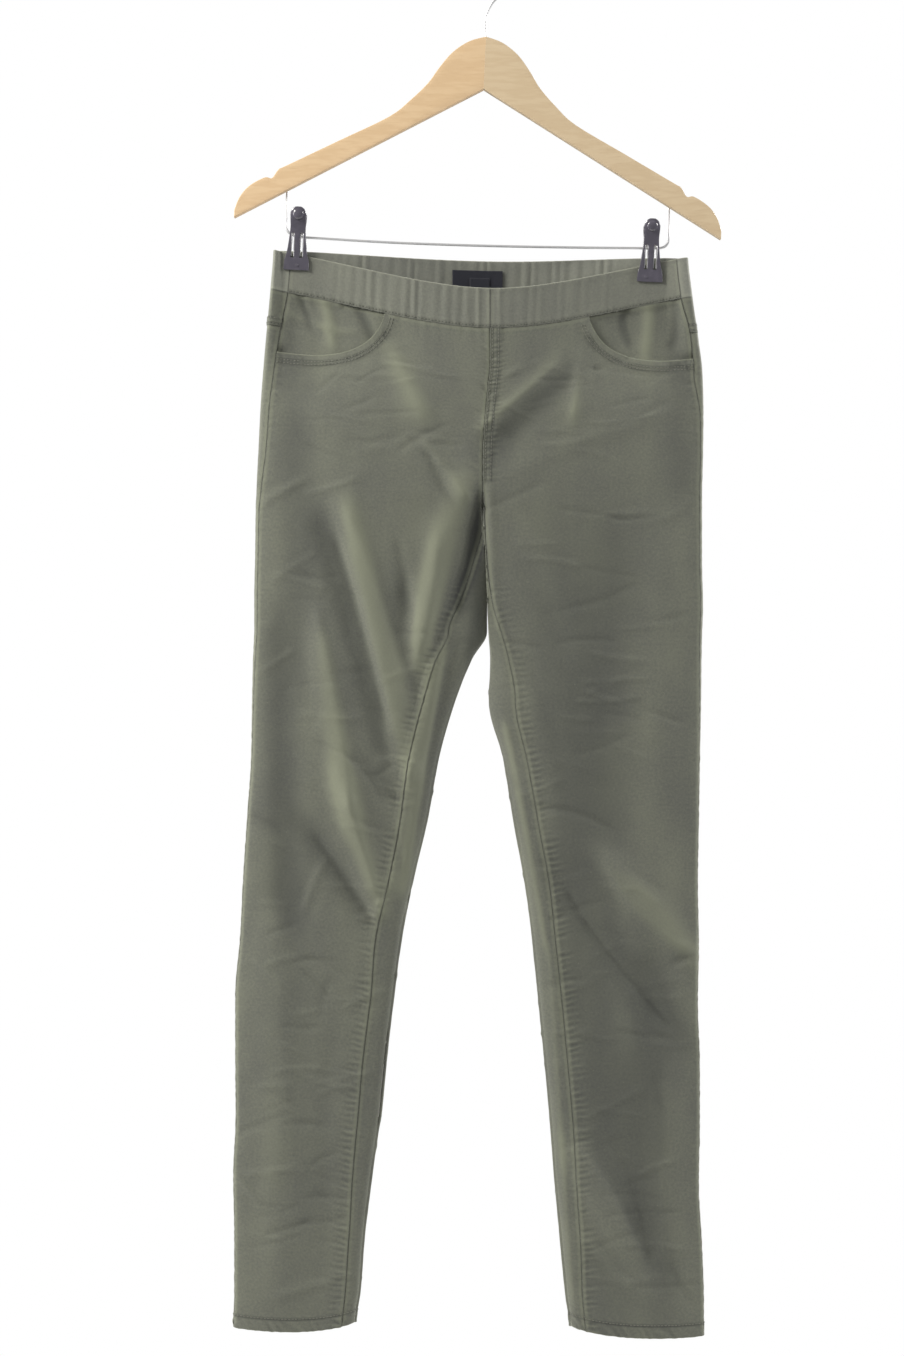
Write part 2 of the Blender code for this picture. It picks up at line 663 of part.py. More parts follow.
def waistband_front(side, material):
    """Makes one front half of the elastic waistband."""
    start = side_seam(side, BAND_TOP)
    start += seam_step(side, start, BAND_TOP, 0.5 * GAP)
    end = 1.0 - seam_step(side, 0.98, BAND_TOP, 0.5 * GAP)
    turns = band_turns(side, BAND_TOP, start, end, FRONT_GATHERS)
    grid, normals = band_grid(side, turns, FRONT_GATHERS)
    walls = [[BAND_WALL] * len(row) for row in grid]
    return wall_solid(f"waistband_front_{side}", grid, normals, walls, material)


def waistband_back(material):
    """Makes the back waistband, from side seam to side seam in one piece."""
    halves = []
    for side in ("right", "left"):
        end = 3.0 + side_seam(side, BAND_TOP)
        end -= seam_step(side, end, BAND_TOP, 0.5 * GAP)
        turns = band_turns(side, BAND_TOP, 2.0, end, BACK_GATHERS)
        halves.append(band_grid(side, turns, BACK_GATHERS))
    grid = []
    normals = []
    for row in range(3):
        grid.append(list(reversed(halves[0][0][row])) + halves[1][0][row][1:])
        normals.append(list(reversed(halves[0][1][row])) + halves[1][1][row][1:])
    walls = [[BAND_WALL] * len(row) for row in grid]
    return wall_solid("waistband_back", grid, normals, walls, material)


def behind(x, level):
    """Returns the back's outer surface behind an x of the waistband."""
    side = "right" if x < section("right", level)["inner"] else "left"
    row = section(side, level)
    share = (x - row["outer"]) / (row["inner"] - row["outer"])
    return skin(side, 3.0 - turn_at(share, row["close"]), level)


def label(name, middle, width, top, depth, inset, material):
    """Makes a cloth label that hangs on the inner face of the back waistband."""
    columns = 7
    rows = 4
    grid = []
    for row in range(rows):
        level = BAND_TOP + top + depth * row / (rows - 1)
        points = []
        for column in range(columns):
            x = middle + width * (column / (columns - 1) - 0.5)
            point = behind(x, level)
            points.append(Vector((x, point.y - inset, point.z)))
        grid.append(points)
    normals = [[Vector((0.0, 1.0, 0.0))] * columns] * rows
    walls = [[LABEL_WALL] * columns] * rows
    return wall_solid(name, grid, normals, walls, material)


def hanger_place(side, out, drop):
    """Returns a point of the hanger's own frame, tilted about its peak."""
    sign = -1.0 if side == "right" else 1.0
    point = Matrix.Rotation(HANGER_TILT, 3, "Y") @ Vector((sign * out, 0.0, -drop))
    return point + Vector((0.0, 0.0, -PEAK_DROP))


def hanger_arm(side, material):
    """Makes one half of the wooden hanger, a board with eased edges and a strap notch."""
    mesh = bmesh.new()
    rings = []
    half = 0.5 * WOOD_THICKNESS
    for out, top in ARM_TOP:
        under = ARM_UNDER_START + ARM_UNDER_SLOPE * out
        edge = min(WOOD_EDGE, 0.2 * (under - top))
        ring = []
        for depth, drop in (
            (-half, top + edge), (-half, under - edge), (edge - half, under), (half - edge, under),
            (half, under - edge), (half, top + edge), (half - edge, top), (edge - half, top),
        ):
            point = hanger_place(side, out, drop)
            ring.append(mesh.verts.new(Vector((point.x, depth, point.z)) * MM))
        rings.append(ring)
    for before, after in zip(rings, rings[1:]):
        for index in range(8):
            following = (index + 1) % 8
            mesh.faces.new((before[index], before[following], after[following], after[index]))
    mesh.faces.new(rings[0])
    mesh.faces.new(rings[-1])
    return finish(f"hanger_arm_{side}", mesh, material)


def rounded_route(points, count):
    """Returns evenly numbered points of a smooth curve through the given ones."""
    result = []
    last = len(points) - 1
    for index in range(count + 1):
        place = last * index / count
        knot = min(last - 1, int(place))
        part = place - knot
        start = points[knot]
        end = points[knot + 1]
        before = points[max(0, knot - 1)]
        after = points[min(last, knot + 2)]
        result.append(
            0.5 * (2.0 * start + (end - before) * part
                   + (2.0 * before - 5.0 * start + 4.0 * end - after) * part ** 2
                   + (3.0 * start - before - 3.0 * end + after) * part ** 3)
        )
    return result


def wire(name, route, radius, sides, material):
    """Makes a round wire with closed ends along a route that lies in an upright plane."""
    mesh = bmesh.new()
    rings = []
    for index, point in enumerate(route):
        before = route[max(0, index - 1)]
        after = route[min(len(route) - 1, index + 1)]
        along = (after - before).normalized()
        depth = Vector((0.0, 1.0, 0.0))
        beside = along.cross(depth).normalized()
        ring = []
        for step in range(sides):
            angle = 2.0 * math.pi * step / sides
            offset = beside * (radius * math.cos(angle)) + depth * (radius * math.sin(angle))
            ring.append(mesh.verts.new((point + offset) * MM))
        rings.append(ring)
    for first, second in zip(rings, rings[1:]):
        for step in range(sides):
            following = (step + 1) % sides
            mesh.faces.new((first[step], first[following], second[following], second[step]))
    mesh.faces.new(rings[0])
    mesh.faces.new(rings[-1])
    return finish(name, mesh, material)


def hanger_hook(material):
    """Makes the wire hook: it leaves the peak, swings right and returns over the seat."""
    seat = HOOK_RADIUS
    points = [
        Vector((x, 0.0, z)) for x, z in (
            (0.2, -77.7), (-0.6, -68.0), (0.2, -58.0), (5.5, -46.5), (13.5, -38.0), (19.6, -26.5),
            (20.6, -14.5), (15.5, -4.6), (6.0, seat - 0.9), (0.0, seat), (-8.0, seat - 1.6), (-16.5, -7.4),
            (-20.6, -17.0), (-19.8, -26.0), (-15.0, -33.0),
        )
    ]
    return wire("hanger_hook", rounded_route(points, 28), HOOK_RADIUS, 8, material)


def hanger_bar(material):
    """Makes the wire bar: two short legs under the arms and a long sagging run through the clips."""
    points = [
        Vector((x, CLIP_MIDDLE_Y, z)) for x, z in (
            (-180.9, -218.45), (-181.6, -240.0), (-182.2, -248.5), (-179.5, -255.3), (-171.3, -259.0),
            (-150.0, -260.8), (-80.0, -264.8), (0.0, -267.5), (80.0, -269.0), (135.0, -269.6),
            (150.0, -269.8), (160.8, -269.0), (165.4, -264.5), (166.0, -256.0), (166.1, -233.25),
        )
    ]
    return wire("hanger_bar", rounded_route(points, 30), BAR_RADIUS, 8, material)


def clip_place(side, x, y, z):
    """Returns a point of a clip's own frame, whose origin lies on the bar."""
    middle_x, middle_z = CLIPS[side]
    point = Matrix.Rotation(HANGER_TILT, 3, "Y") @ Vector((x, 0.0, z))
    return Vector((middle_x + point.x, CLIP_MIDDLE_Y + y, middle_z + point.z))


def clip_lever(side, face, material):
    """Makes one lever of a clip: a round grip, two slots and a wide jaw."""
    sign = -1.0 if face == "front" else 1.0
    grid = []
    normals = []
    walls = []
    for height, half_width, inner_face in LEVER_ROWS:
        slot_outer = min(SLOT_OUTER, 0.8 * half_width)
        slot_inner = min(SLOT_INNER, 0.35 * half_width)
        xs = (-half_width, -slot_outer, -slot_inner, slot_inner, slot_outer, half_width)
        distance = sign * (inner_face + LEVER_WALL)
        grid.append([clip_place(side, x, distance, height) for x in xs])
        normals.append([Vector((0.0, sign, 0.0))] * 6)
        walls.append([LEVER_WALL] * 6)
    slots = {(row, column) for row in SLOT_ROWS for column in (1, 3)}
    return wall_solid(f"clip_{side}_{face}_lever", grid, normals, walls, material, slots)


def clip_spring(side, material):
    """Makes a clip's bent spring strip, over the bar and down inside both levers."""
    route = [(-distance, height) for distance, height in SPRING_ROUTE] + list(reversed(SPRING_ROUTE[:-1]))
    grid = []
    normals = []
    for index, (distance, height) in enumerate(route):
        before = route[max(0, index - 1)]
        after = route[min(len(route) - 1, index + 1)]
        along = Vector((0.0, after[0] - before[0], after[1] - before[1])).normalized()
        normal = Vector((0.0, -along.z, along.y))
        grid.append([clip_place(side, x, distance, height) for x in (-SPRING_HALF_WIDTH, SPRING_HALF_WIDTH)])
        normals.append([normal, normal])
    walls = [[SPRING_WALL, SPRING_WALL] for _ in grid]
    return wall_solid(f"clip_{side}_spring", grid, normals, walls, material)


def linear(channel):
    """Returns a display colour channel of 0 to 255 as a linear value."""
    value = channel / 255.0
    return value / 12.92 if value <= 0.04045 else ((value + 0.055) / 1.055) ** 2.4


def make_material(name, colour, roughness, metallic):
    """Makes a Principled material from a display colour."""
    material = bpy.data.materials.new(name)
    material.use_nodes = True
    shader = material.node_tree.nodes["Principled BSDF"]
    shader.inputs["Base Color"].default_value = [linear(channel) for channel in colour] + [1.0]
    shader.inputs["Roughness"].default_value = roughness
    shader.inputs["Metallic"].default_value = metallic
    return material


def build():
    """Builds every piece of the jeans and of the hanger that holds them."""
    for item in list(bpy.data.objects):
        bpy.data.objects.remove(item)
    cloth = make_material("olive_twill", (110, 112, 98), 0.9, 0.0)
    elastic = make_material("olive_waistband", (108, 110, 96), 0.9, 0.0)
    navy = make_material("navy_label", (38, 40, 52), 0.8, 0.0)
    wood = make_material("pale_wood", (214, 188, 150), 0.5, 0.0)
    steel = make_material("bright_wire", (190, 190, 188), 0.3, 1.0)
    dark = make_material("dark_clip", (82, 80, 92), 0.35, 0.0)
    for side in ("right", "left"):
        front_panel(side, cloth)
        back_panel(side, cloth)
        back_yoke(side, cloth)
        pocket_facing(side, cloth)
        back_pocket(side, cloth)
        waistband_front(side, elastic)
        hanger_arm(side, wood)
        clip_lever(side, "front", dark)
        clip_lever(side, "back", dark)
        clip_spring(side, steel)
    waistband_back(elastic)
    label("neck_label", LABEL_MIDDLE, LABEL_WIDTH, LABEL_TOP, LABEL_DEPTH, BAND_WALL + LABEL_CLEAR, navy)
    tab_inset = BAND_WALL + LABEL_CLEAR + LABEL_WALL + GAP
    label("size_tab", LABEL_MIDDLE + 2.0, TAB_WIDTH, TAB_TOP, TAB_DEPTH, tab_inset, navy)
    hanger_hook(steel)
    hanger_bar(steel)


build()
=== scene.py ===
"""Pull-on jeans held by two clips on the bar of a flat wooden hanger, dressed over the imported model.

Garment sizes are millimetres and become metres through MM. The cloth pieces are thin shells cut from
one garment surface. turn runs round half the garment: 0 is the outer fold, 0 to 1 the front, 1 to 2
the inner thigh, 2 to 3 the back, and 3 is the outer fold again. level is the distance below the
hook's seat before the waist's dip and the garment's lean are added.
"""

import logging
import math
from collections.abc import Callable, Sequence
from dataclasses import dataclass, field
from enum import Enum

import bmesh
import bpy
import numpy as np
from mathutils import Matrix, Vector

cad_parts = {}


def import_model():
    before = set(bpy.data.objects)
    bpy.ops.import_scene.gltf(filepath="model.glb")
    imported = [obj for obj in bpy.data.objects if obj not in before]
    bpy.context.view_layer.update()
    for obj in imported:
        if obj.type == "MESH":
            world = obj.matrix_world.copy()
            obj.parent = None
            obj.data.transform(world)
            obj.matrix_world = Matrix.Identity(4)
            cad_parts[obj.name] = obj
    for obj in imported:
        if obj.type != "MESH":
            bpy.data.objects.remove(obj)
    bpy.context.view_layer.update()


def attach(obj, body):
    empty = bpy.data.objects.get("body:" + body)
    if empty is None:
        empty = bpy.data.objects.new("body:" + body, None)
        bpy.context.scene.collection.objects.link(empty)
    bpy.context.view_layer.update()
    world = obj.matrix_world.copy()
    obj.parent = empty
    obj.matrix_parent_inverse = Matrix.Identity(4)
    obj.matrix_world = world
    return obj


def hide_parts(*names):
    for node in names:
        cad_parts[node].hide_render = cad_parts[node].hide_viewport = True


MM = 0.001
BODY = "root"
BELOW_HEM = 1300.0  # a level past the hem, for edges that run to it
LOG = logging.getLogger("jeans")

Array = np.ndarray


class Side(Enum):
    """A half of the garment, named for the wearer."""

    RIGHT = "right"
    LEFT = "left"

    @property
    def inward(self) -> float:
        """The direction along X from the outer fold to the middle."""
        return 1.0 if self is Side.RIGHT else -1.0


class Face(Enum):
    """The front or the back of the garment."""

    FRONT = "front"
    BACK = "back"


class Edge(Enum):
    """An edge of a cloth piece's grid."""

    START = "start"
    END = "end"
    TOP = "top"
    BOTTOM = "bottom"


# Where the bar passes through each clip: x and z.
CLIP_PLACES = {Side.RIGHT: (-171.3, -259.0), Side.LEFT: (150.0, -269.8)}


# --- small curves on arrays -------------------------------------------------------------------


def smooth(value: Array | float) -> Array:
    """Gives a soft step.

    Args:
        value: Where on the step, 0 at its foot and 1 at its top.

    Returns:
        0 below 0, 1 above 1 and a smooth curve between.
    """
    held = np.clip(value, 0.0, 1.0)
    return held * held * (3.0 - 2.0 * held)


def quarter(value: Array | float) -> Array:
    """Gives a quarter circle's sine, flat at 1.

    Args:
        value: The share of the quarter.

    Returns:
        The sine, from 0 to 1.
    """
    return np.sin(0.5 * math.pi * np.clip(value, 0.0, 1.0))


def wander(value: Array, seed: float, reach: float) -> Array:
    """Gives an uneven slow wave, the same each run.

    Args:
        value: Where on the wave, in millimetres.
        seed: A number that sets the wave apart from others.
        reach: The wave's usual length in millimetres.

    Returns:
        Heights from about -1 to 1.
    """
    turns = 2.0 * math.pi * value / reach
    return (
        0.5 * np.sin(turns + 1.7 * seed)
        + 0.3 * np.sin(1.73 * turns + 2.9 * seed + 0.6)
        + 0.2 * np.sin(2.61 * turns + 4.3 * seed + 1.9)
    )


# --- the garment's surface --------------------------------------------------------------------

COLUMNS = ("level", "outer", "inner", "front", "back", "close", "side_seam", "inseam")
SECTIONS: dict[Side, tuple[tuple[float, ...], ...]] = {
    Side.RIGHT: (
        (271.0, -193.5, 3.6, 17.0, 15.0, 0.00, 16.0, 0.0),
        (307.5, -196.0, 3.6, 17.0, 16.0, 0.00, 16.0, 0.0),
        (344.0, -199.3, 3.6, 18.0, 17.5, 0.00, 12.7, 0.0),
        (380.5, -202.5, 1.4, 19.5, 20.0, 0.00, 10.5, 0.0),
        (417.0, -205.2, -0.9, 20.0, 22.0, 0.00, 8.6, 0.0),
        (453.0, -207.0, -2.9, 20.0, 22.5, 0.00, 7.7, 0.0),
        (491.4, -208.9, -3.2, 19.0, 22.0, 0.00, 5.0, 0.0),
        (517.0, -209.8, -2.2, 18.0, 21.0, 0.25, 3.4, 0.6),
        (553.0, -210.2, -0.6, 17.0, 20.0, 0.50, 3.2, 10.0),
        (590.0, -211.0, 0.9, 16.0, 18.0, 0.68, 3.2, 24.0),
        (619.0, -211.0, 1.0, 15.0, 17.0, 0.80, 3.0, 35.0),
        (644.0, -212.0, -12.7, 14.5, 16.5, 0.85, 2.5, 31.4),
        (680.5, -212.9, -27.3, 14.0, 16.0, 0.85, 1.8, 27.5),
        (735.0, -213.9, -42.8, 13.0, 15.0, 0.85, 1.2, 25.5),
        (790.0, -217.5, -52.8, 12.0, 14.0, 0.85, 1.0, 23.3),
        (844.5, -221.1, -65.5, 11.5, 13.5, 0.85, 1.0, 21.0),
        (899.0, -223.9, -76.4, 11.0, 13.0, 0.85, 1.0, 22.3),
        (954.0, -228.4, -83.7, 10.5, 12.0, 0.85, 1.0, 19.6),
        (1008.0, -228.4, -90.5, 10.0, 11.0, 0.85, 1.0, 19.6),
        (1063.0, -228.0, -96.0, 9.5, 10.5, 0.85, 1.0, 19.0),
        (1117.5, -230.2, -103.7, 9.0, 10.0, 0.85, 1.0, 16.0),
        (1172.0, -229.3, -110.1, 8.5, 9.5, 0.85, 1.0, 12.9),
        (1227.0, -229.3, -113.8, 8.5, 9.5, 0.85, 1.0, 12.6),
        (1258.5, -230.2, -117.8, 8.5, 9.5, 0.85, 1.0, 11.5),
    ),
    Side.LEFT: (
        (271.0, 183.8, 3.6, 17.0, 15.0, 0.00, 10.6, 0.0),
        (307.5, 187.5, 3.6, 17.0, 16.0, 0.00, 10.6, 0.0),
        (344.0, 192.5, 3.6, 18.0, 17.5, 0.00, 6.8, 0.0),
        (380.5, 197.0, 1.4, 19.5, 20.0, 0.00, 8.4, 0.0),
        (417.0, 197.9, -0.9, 20.0, 22.0, 0.00, 3.8, 0.0),
        (453.0, 197.5, -2.9, 20.0, 22.5, 0.00, 2.8, 0.0),
        (491.4, 196.6, -3.2, 19.0, 22.0, 0.00, 2.7, 0.0),
        (517.0, 196.6, -2.2, 18.5, 21.0, 0.12, 2.7, 0.6),
        (553.0, 196.6, -0.6, 18.0, 20.0, 0.24, 2.7, 1.5),
        (590.0, 197.5, 0.9, 17.0, 18.5, 0.38, 2.7, 4.5),
        (619.0, 196.6, 2.0, 16.0, 17.5, 0.55, 2.7, 11.5),
        (644.0, 196.1, 3.6, 15.5, 17.0, 0.70, 2.5, 15.6),
        (680.5, 195.7, 2.3, 14.5, 16.0, 0.80, 2.0, 22.5),
        (735.0, 194.7, 15.5, 13.0, 15.0, 0.85, 1.2, 20.0),
        (790.0, 193.8, 24.6, 12.0, 14.0, 0.85, 1.0, 20.9),
        (844.5, 192.9, 34.6, 11.5, 13.5, 0.85, 1.0, 20.9),
        (899.0, 193.8, 41.9, 11.0, 13.0, 0.85, 1.0, 19.6),
        (954.0, 192.9, 47.3, 10.5, 12.0, 0.85, 1.0, 20.0),
        (1008.0, 194.7, 52.8, 10.0, 11.0, 0.85, 1.0, 19.6),
        (1063.0, 194.7, 57.8, 9.5, 10.5, 0.85, 1.0, 19.5),
        (1117.5, 193.8, 61.9, 9.0, 10.0, 0.85, 1.0, 18.4),
        (1172.0, 196.6, 67.3, 8.5, 9.5, 0.85, 1.0, 16.8),
        (1227.0, 198.4, 71.9, 8.5, 9.5, 0.85, 1.0, 14.0),
        (1258.5, 198.4, 75.5, 8.5, 9.5, 0.85, 1.0, 13.0),
    ),
}


@dataclass(frozen=True)
class Fold:
    """A soft ridge or trough along a gentle bend. Its places are x and level."""

    start: tuple[float, float]
    bend: tuple[float, float]
    end: tuple[float, float]
    half_width: float
    height: float
    lean: float = 0.0

    def lift(self, x: Array, level: Array) -> Array:
        """Gives how far the fold lifts the cloth.

        Args:
            x: Places across the garment.
            level: Places down the garment.

        Returns:
            Heights in millimetres.
        """
        steps = 2 if self.bend == self.start else 9
        best = np.full(x.shape, 1e9)
        signed = np.zeros(x.shape)
        shares = np.linspace(0.0, 1.0, steps)
        route = [self._at(share) for share in shares]
        for (x0, l0), (x1, l1) in zip(route, route[1:]):
            run_x, run_l = x1 - x0, l1 - l0
            length = math.hypot(run_x, run_l) + 1e-6
            along = ((x - x0) * run_x + (level - l0) * run_l) / length
            off = ((x - x0) * run_l - (level - l0) * run_x) / length
            beyond = np.maximum(0.0, np.maximum(-along, along - length))
            reach = (off / self.half_width) ** 2 + (beyond / (2.3 * self.half_width)) ** 2
            nearer = reach < best
            best = np.where(nearer, reach, best)
            signed = np.where(nearer, off / self.half_width, signed)
        return self.height * np.exp(-best) * (1.0 + self.lean * np.tanh(2.0 * signed))

    def _at(self, share: float) -> tuple[float, float]:
        """Gives a point of the bent route at a share of its length.

        Args:
            share: The share.

        Returns:
            Its x and level.
        """
        if self.bend == self.start:
            return tuple(a + (b - a) * share for a, b in zip(self.start, self.end))
        first, middle, last = (1.0 - share) ** 2, 2.0 * share * (1.0 - share), share**2
        return tuple(
            first * a + middle * b + last * c for a, b, c in zip(self.start, self.bend, self.end)
        )


def straight(*rows: tuple[float, ...]) -> tuple[Fold, ...]:
    """Makes folds along straight lines.

    Args:
        *rows: For each, x and level of its start, x and level of its end, half width and height,
            which is below zero for a trough.

    Returns:
        The folds.
    """
    return tuple(Fold(row[:2], row[:2], row[2:4], *row[4:]) for row in rows)


def bent(*rows: tuple[float, ...]) -> tuple[Fold, ...]:
    """Makes folds along bent lines.

    Args:
        *rows: For each, x and level of its start, of its bend and of its end, half width, height,
            and how far it leans to one side.

    Returns:
        The folds.
    """
    return tuple(Fold(row[:2], row[2:4], row[4:6], *row[6:]) for row in rows)


def heap(folds: Sequence[Fold], x: Array, level: Array) -> Array:
    """Adds up how far folds lift the cloth.

    Args:
        folds: The folds.
        x: Places across the garment.
        level: Places down the garment.

    Returns:
        Heights in millimetres.
    """
    lift = np.zeros(x.shape)
    for fold in folds:
        lift += fold.lift(x, level)
    return lift


MAIN_FOLDS = {
    Face.FRONT: straight(
        (-122, 520, -74, 733, 12, 3.6),
        (-142, 540, -92, 722, 13, -2.8),
        (-74, 590, -66, 662, 8, -2.2),
        (-45, 544, -62, 650, 12, 3),
        (-150, 640, -126, 776, 13, 3.2),
        (-128, 766, -98, 868, 12, 3.4),
        (-186, 640, -178, 860, 17, -2.6),
        (-106, 745, -84, 770, 8, -1.6),
        (-48, 650, -66, 742, 6, 2.6),
        (-66, 742, -84, 850, 6, 2.4),
        (-152, 812, -108, 876, 13, -2.3),
        (72, 850, 164, 972, 18, -2.4),
        (112, 826, 190, 908, 14, 2.8),
        (82, 1100, 140, 1196, 14, 2.4),
        (112, 1070, 156, 1190, 16, -1.6),
        (90, 950, 128, 1060, 20, -2),
        (4, 422, 58, 352, 8, 2.2),
        (22, 436, 74, 370, 15, -3),
        (-86, 344, -62, 410, 14, 2.8),
        (86, 350, 80, 414, 8, 2.4),
        (-176, 360, -162, 640, 22, -2),
        (176, 372, 178, 480, 15, -1.4),
        (-22, 492, -62, 622, 13, 3),
        (112, 560, 104, 800, 30, -2.4),
        (150, 930, 140, 1180, 16, -2),
        (-196, 900, -190, 1180, 16, 2),
        (-7, 508, -8, 536, 6, -3.2),
        (-10, 536, -24, 590, 7.5, -3),
    ),
    Face.BACK: straight(
        (-150, 590, -60, 505, 16, 3.4),
        (150, 600, 62, 512, 16, 3.4),
        (-190, 840, -84, 792, 15, 3),
        (170, 806, 60, 850, 15, 3),
        (-196, 700, -70, 742, 15, -2.8),
        (176, 905, 72, 940, 15, -2.6),
    ),
}

CREASES = {
    Face.FRONT: bent(
        (-122, 522, -94, 590, -72, 684, 6, 1.3, 0.4),
        (-133, 545, -112, 610, -92, 694, 5, -1.5, -0.4),
        (-46, 546, -50, 600, -64, 644, 6, 1.2, 0.3),
        (-79, 545, -72, 575, -69, 598, 5, -1.2),
        (-153, 614, -134, 690, -126, 770, 6, 1.3, 0.4),
        (-126, 770, -114, 822, -98, 862, 5, 1.3, 0.5),
        (-148, 814, -128, 842, -107, 874, 4.4, -1.3, -0.4),
        (-147, 723, -112, 734, -92, 772, 2.6, -1, -0.4),
        (-106, 751, -98, 752, -88, 744, 2.4, -0.6, 0.3),
        (-149, 835, -158, 850, -163, 868, 4, 0.8),
        (-53, 452, -36, 470, -20, 494, 3.8, 1.5, 0.3),
        (-198, 503, -184, 494, -169, 486, 4, 0.9),
        (-216, 790, -205, 792, -190, 800, 5, -1.4),
        (-144, 944, -148, 952, -149, 962, 4, -0.8),
        (-229, 1113, -220, 1125, -210, 1136, 4, 0.9),
        (-183, 1223, -160, 1216, -139, 1211, 4.5, 0.8),
        (51, 778, 82, 778, 110, 794, 3.6, -1.3, 0.3),
        (79, 860, 104, 904, 164, 968, 5, -1.7, -0.4),
        (115, 836, 148, 898, 193, 907, 6, 1.2, 0.3),
        (193, 906, 186, 908, 176, 914, 4, -1.6),
        (140, 850, 144, 854, 150, 858, 4, 0.8),
        (156, 1026, 158, 1034, 160, 1044, 5, -0.9),
        (83, 1090, 110, 1118, 137, 1180, 5, 1.2, 0.4),
        (117, 1086, 138, 1120, 148, 1176, 5, -0.9, -0.3),
        (93, 1168, 108, 1186, 128, 1207, 5, 1.1),
        (161, 1110, 162, 1140, 161, 1180, 6, 0.9),
        (172, 1198, 176, 1210, 184, 1222, 4.5, -1.1),
        (6, 424, 30, 396, 62, 358, 4.6, 1, 0.4),
        (-50, 464, -44, 480, -32, 498, 4.4, -1.2),
        (-83, 354, -72, 380, -60, 408, 6, 1, 0.3),
        (84, 350, 82, 380, 79, 412, 3.6, 1, 0.3),
        (150, 420, 90, 440, 20, 478, 9, 0.9),
        (-160, 420, -110, 446, -40, 480, 9, 0.8),
        (20, 510, 60, 560, 80, 640, 9, 0.9),
        (30, 640, 60, 690, 70, 760, 8, -0.8),
        (158, 560, 152, 660, 158, 760, 10, 1.1),
        (-190, 900, -180, 980, -184, 1080, 9, 0.8),
        (-140, 1000, -150, 1080, -146, 1160, 9, -0.8),
        (-6, 504, -6, 545, -24, 592, 5, -2.2),
        (4, 490, 4, 545, 12, 610, 4, 1.5),
        (-39, 628, -54, 700, -75, 850, 4.2, 1.6),
        (-28, 636, -42, 690, -52, 740, 3.6, -1.3),
        (-80, 812, -76, 838, -71, 864, 4.6, -1.6),
        (-80, 890, -90, 960, -97, 1060, 3.6, 1),
        (18, 709, 36, 790, 54, 900, 3.8, 1.4),
        (8, 694, 18, 724, 28, 756, 3.4, -1.2),
        (58, 914, 68, 1069, 78, 1225, 3.6, 1),
    ),
    Face.BACK: bent(
        (-20, 470, -80, 520, -170, 560, 6, 1.3, 0.4),
        (18, 474, 74, 524, 168, 566, 6, 1.3, -0.4),
        (-24, 500, -70, 560, -150, 620, 5, -1.5, -0.4),
        (22, 506, 70, 566, 150, 628, 5, -1.5, 0.4),
        (-190, 690, -130, 716, -70, 730, 4, -1.4, 0.4),
        (-200, 770, -140, 776, -80, 756, 3.4, -1.5, -0.4),
        (-206, 826, -150, 836, -86, 800, 4, 1.3, 0.4),
        (184, 700, 120, 730, 50, 740, 4, -1.4, 0.4),
        (186, 790, 120, 796, 60, 776, 3.4, -1.5, -0.3),
        (186, 850, 130, 866, 66, 830, 4, 1.2, 0.4),
        (-210, 1090, -180, 1110, -130, 1104, 5, -1.1),
        (180, 1110, 140, 1136, 86, 1126, 5, -1.1),
        (-204, 1180, -176, 1196, -134, 1190, 5, 1),
        (182, 1186, 150, 1206, 92, 1196, 5, 1),
    ),
}

# Painted light and shade on the front: shadow by the fork, light on the inner thighs, shade down the legs.
PAINTED_LIGHT_AND_SHADE = bent(
    (-8, 530, -10, 552, -19, 580, 7.5, -3.2),
    (-4, 492, -4, 506, -5, 520, 3.4, -2),
    (-6, 548, -6, 590, -12, 640, 8, -1.5),
    (-22, 574, -34, 604, -46, 640, 5, -1.3),
    (-40, 640, -56, 716, -75, 850, 5, 1.5),
    (18, 709, 36, 790, 54, 900, 4.5, 1.3),
    (58, 914, 68, 1069, 78, 1225, 4, 0.9),
    (60, 560, 84, 860, 112, 1230, 34, -0.9),
    (150, 980, 150, 1100, 160, 1230, 20, -0.7),
    (-186, 880, -180, 1000, -176, 1230, 30, -0.7),
)

# The facings behind both pocket mouths, with the drop in place of the level.
POCKET_FOLDS = bent(
    (-150, 312, -144, 330, -142, 352, 6.5, 1.5, 0.3),
    (-169, 312, -166, 324, -160, 338, 3.4, -1.3),
    (-118, 322, -110, 334, -104, 350, 5, -1.4),
    (-176, 330, -150, 344, -126, 346, 4, 0.8),
    (146, 316, 148, 336, 144, 360, 7, 1.6, 0.3),
    (124, 322, 122, 338, 128, 352, 5, -1.4),
    (172, 322, 174, 340, 170, 356, 5, -1.1),
)


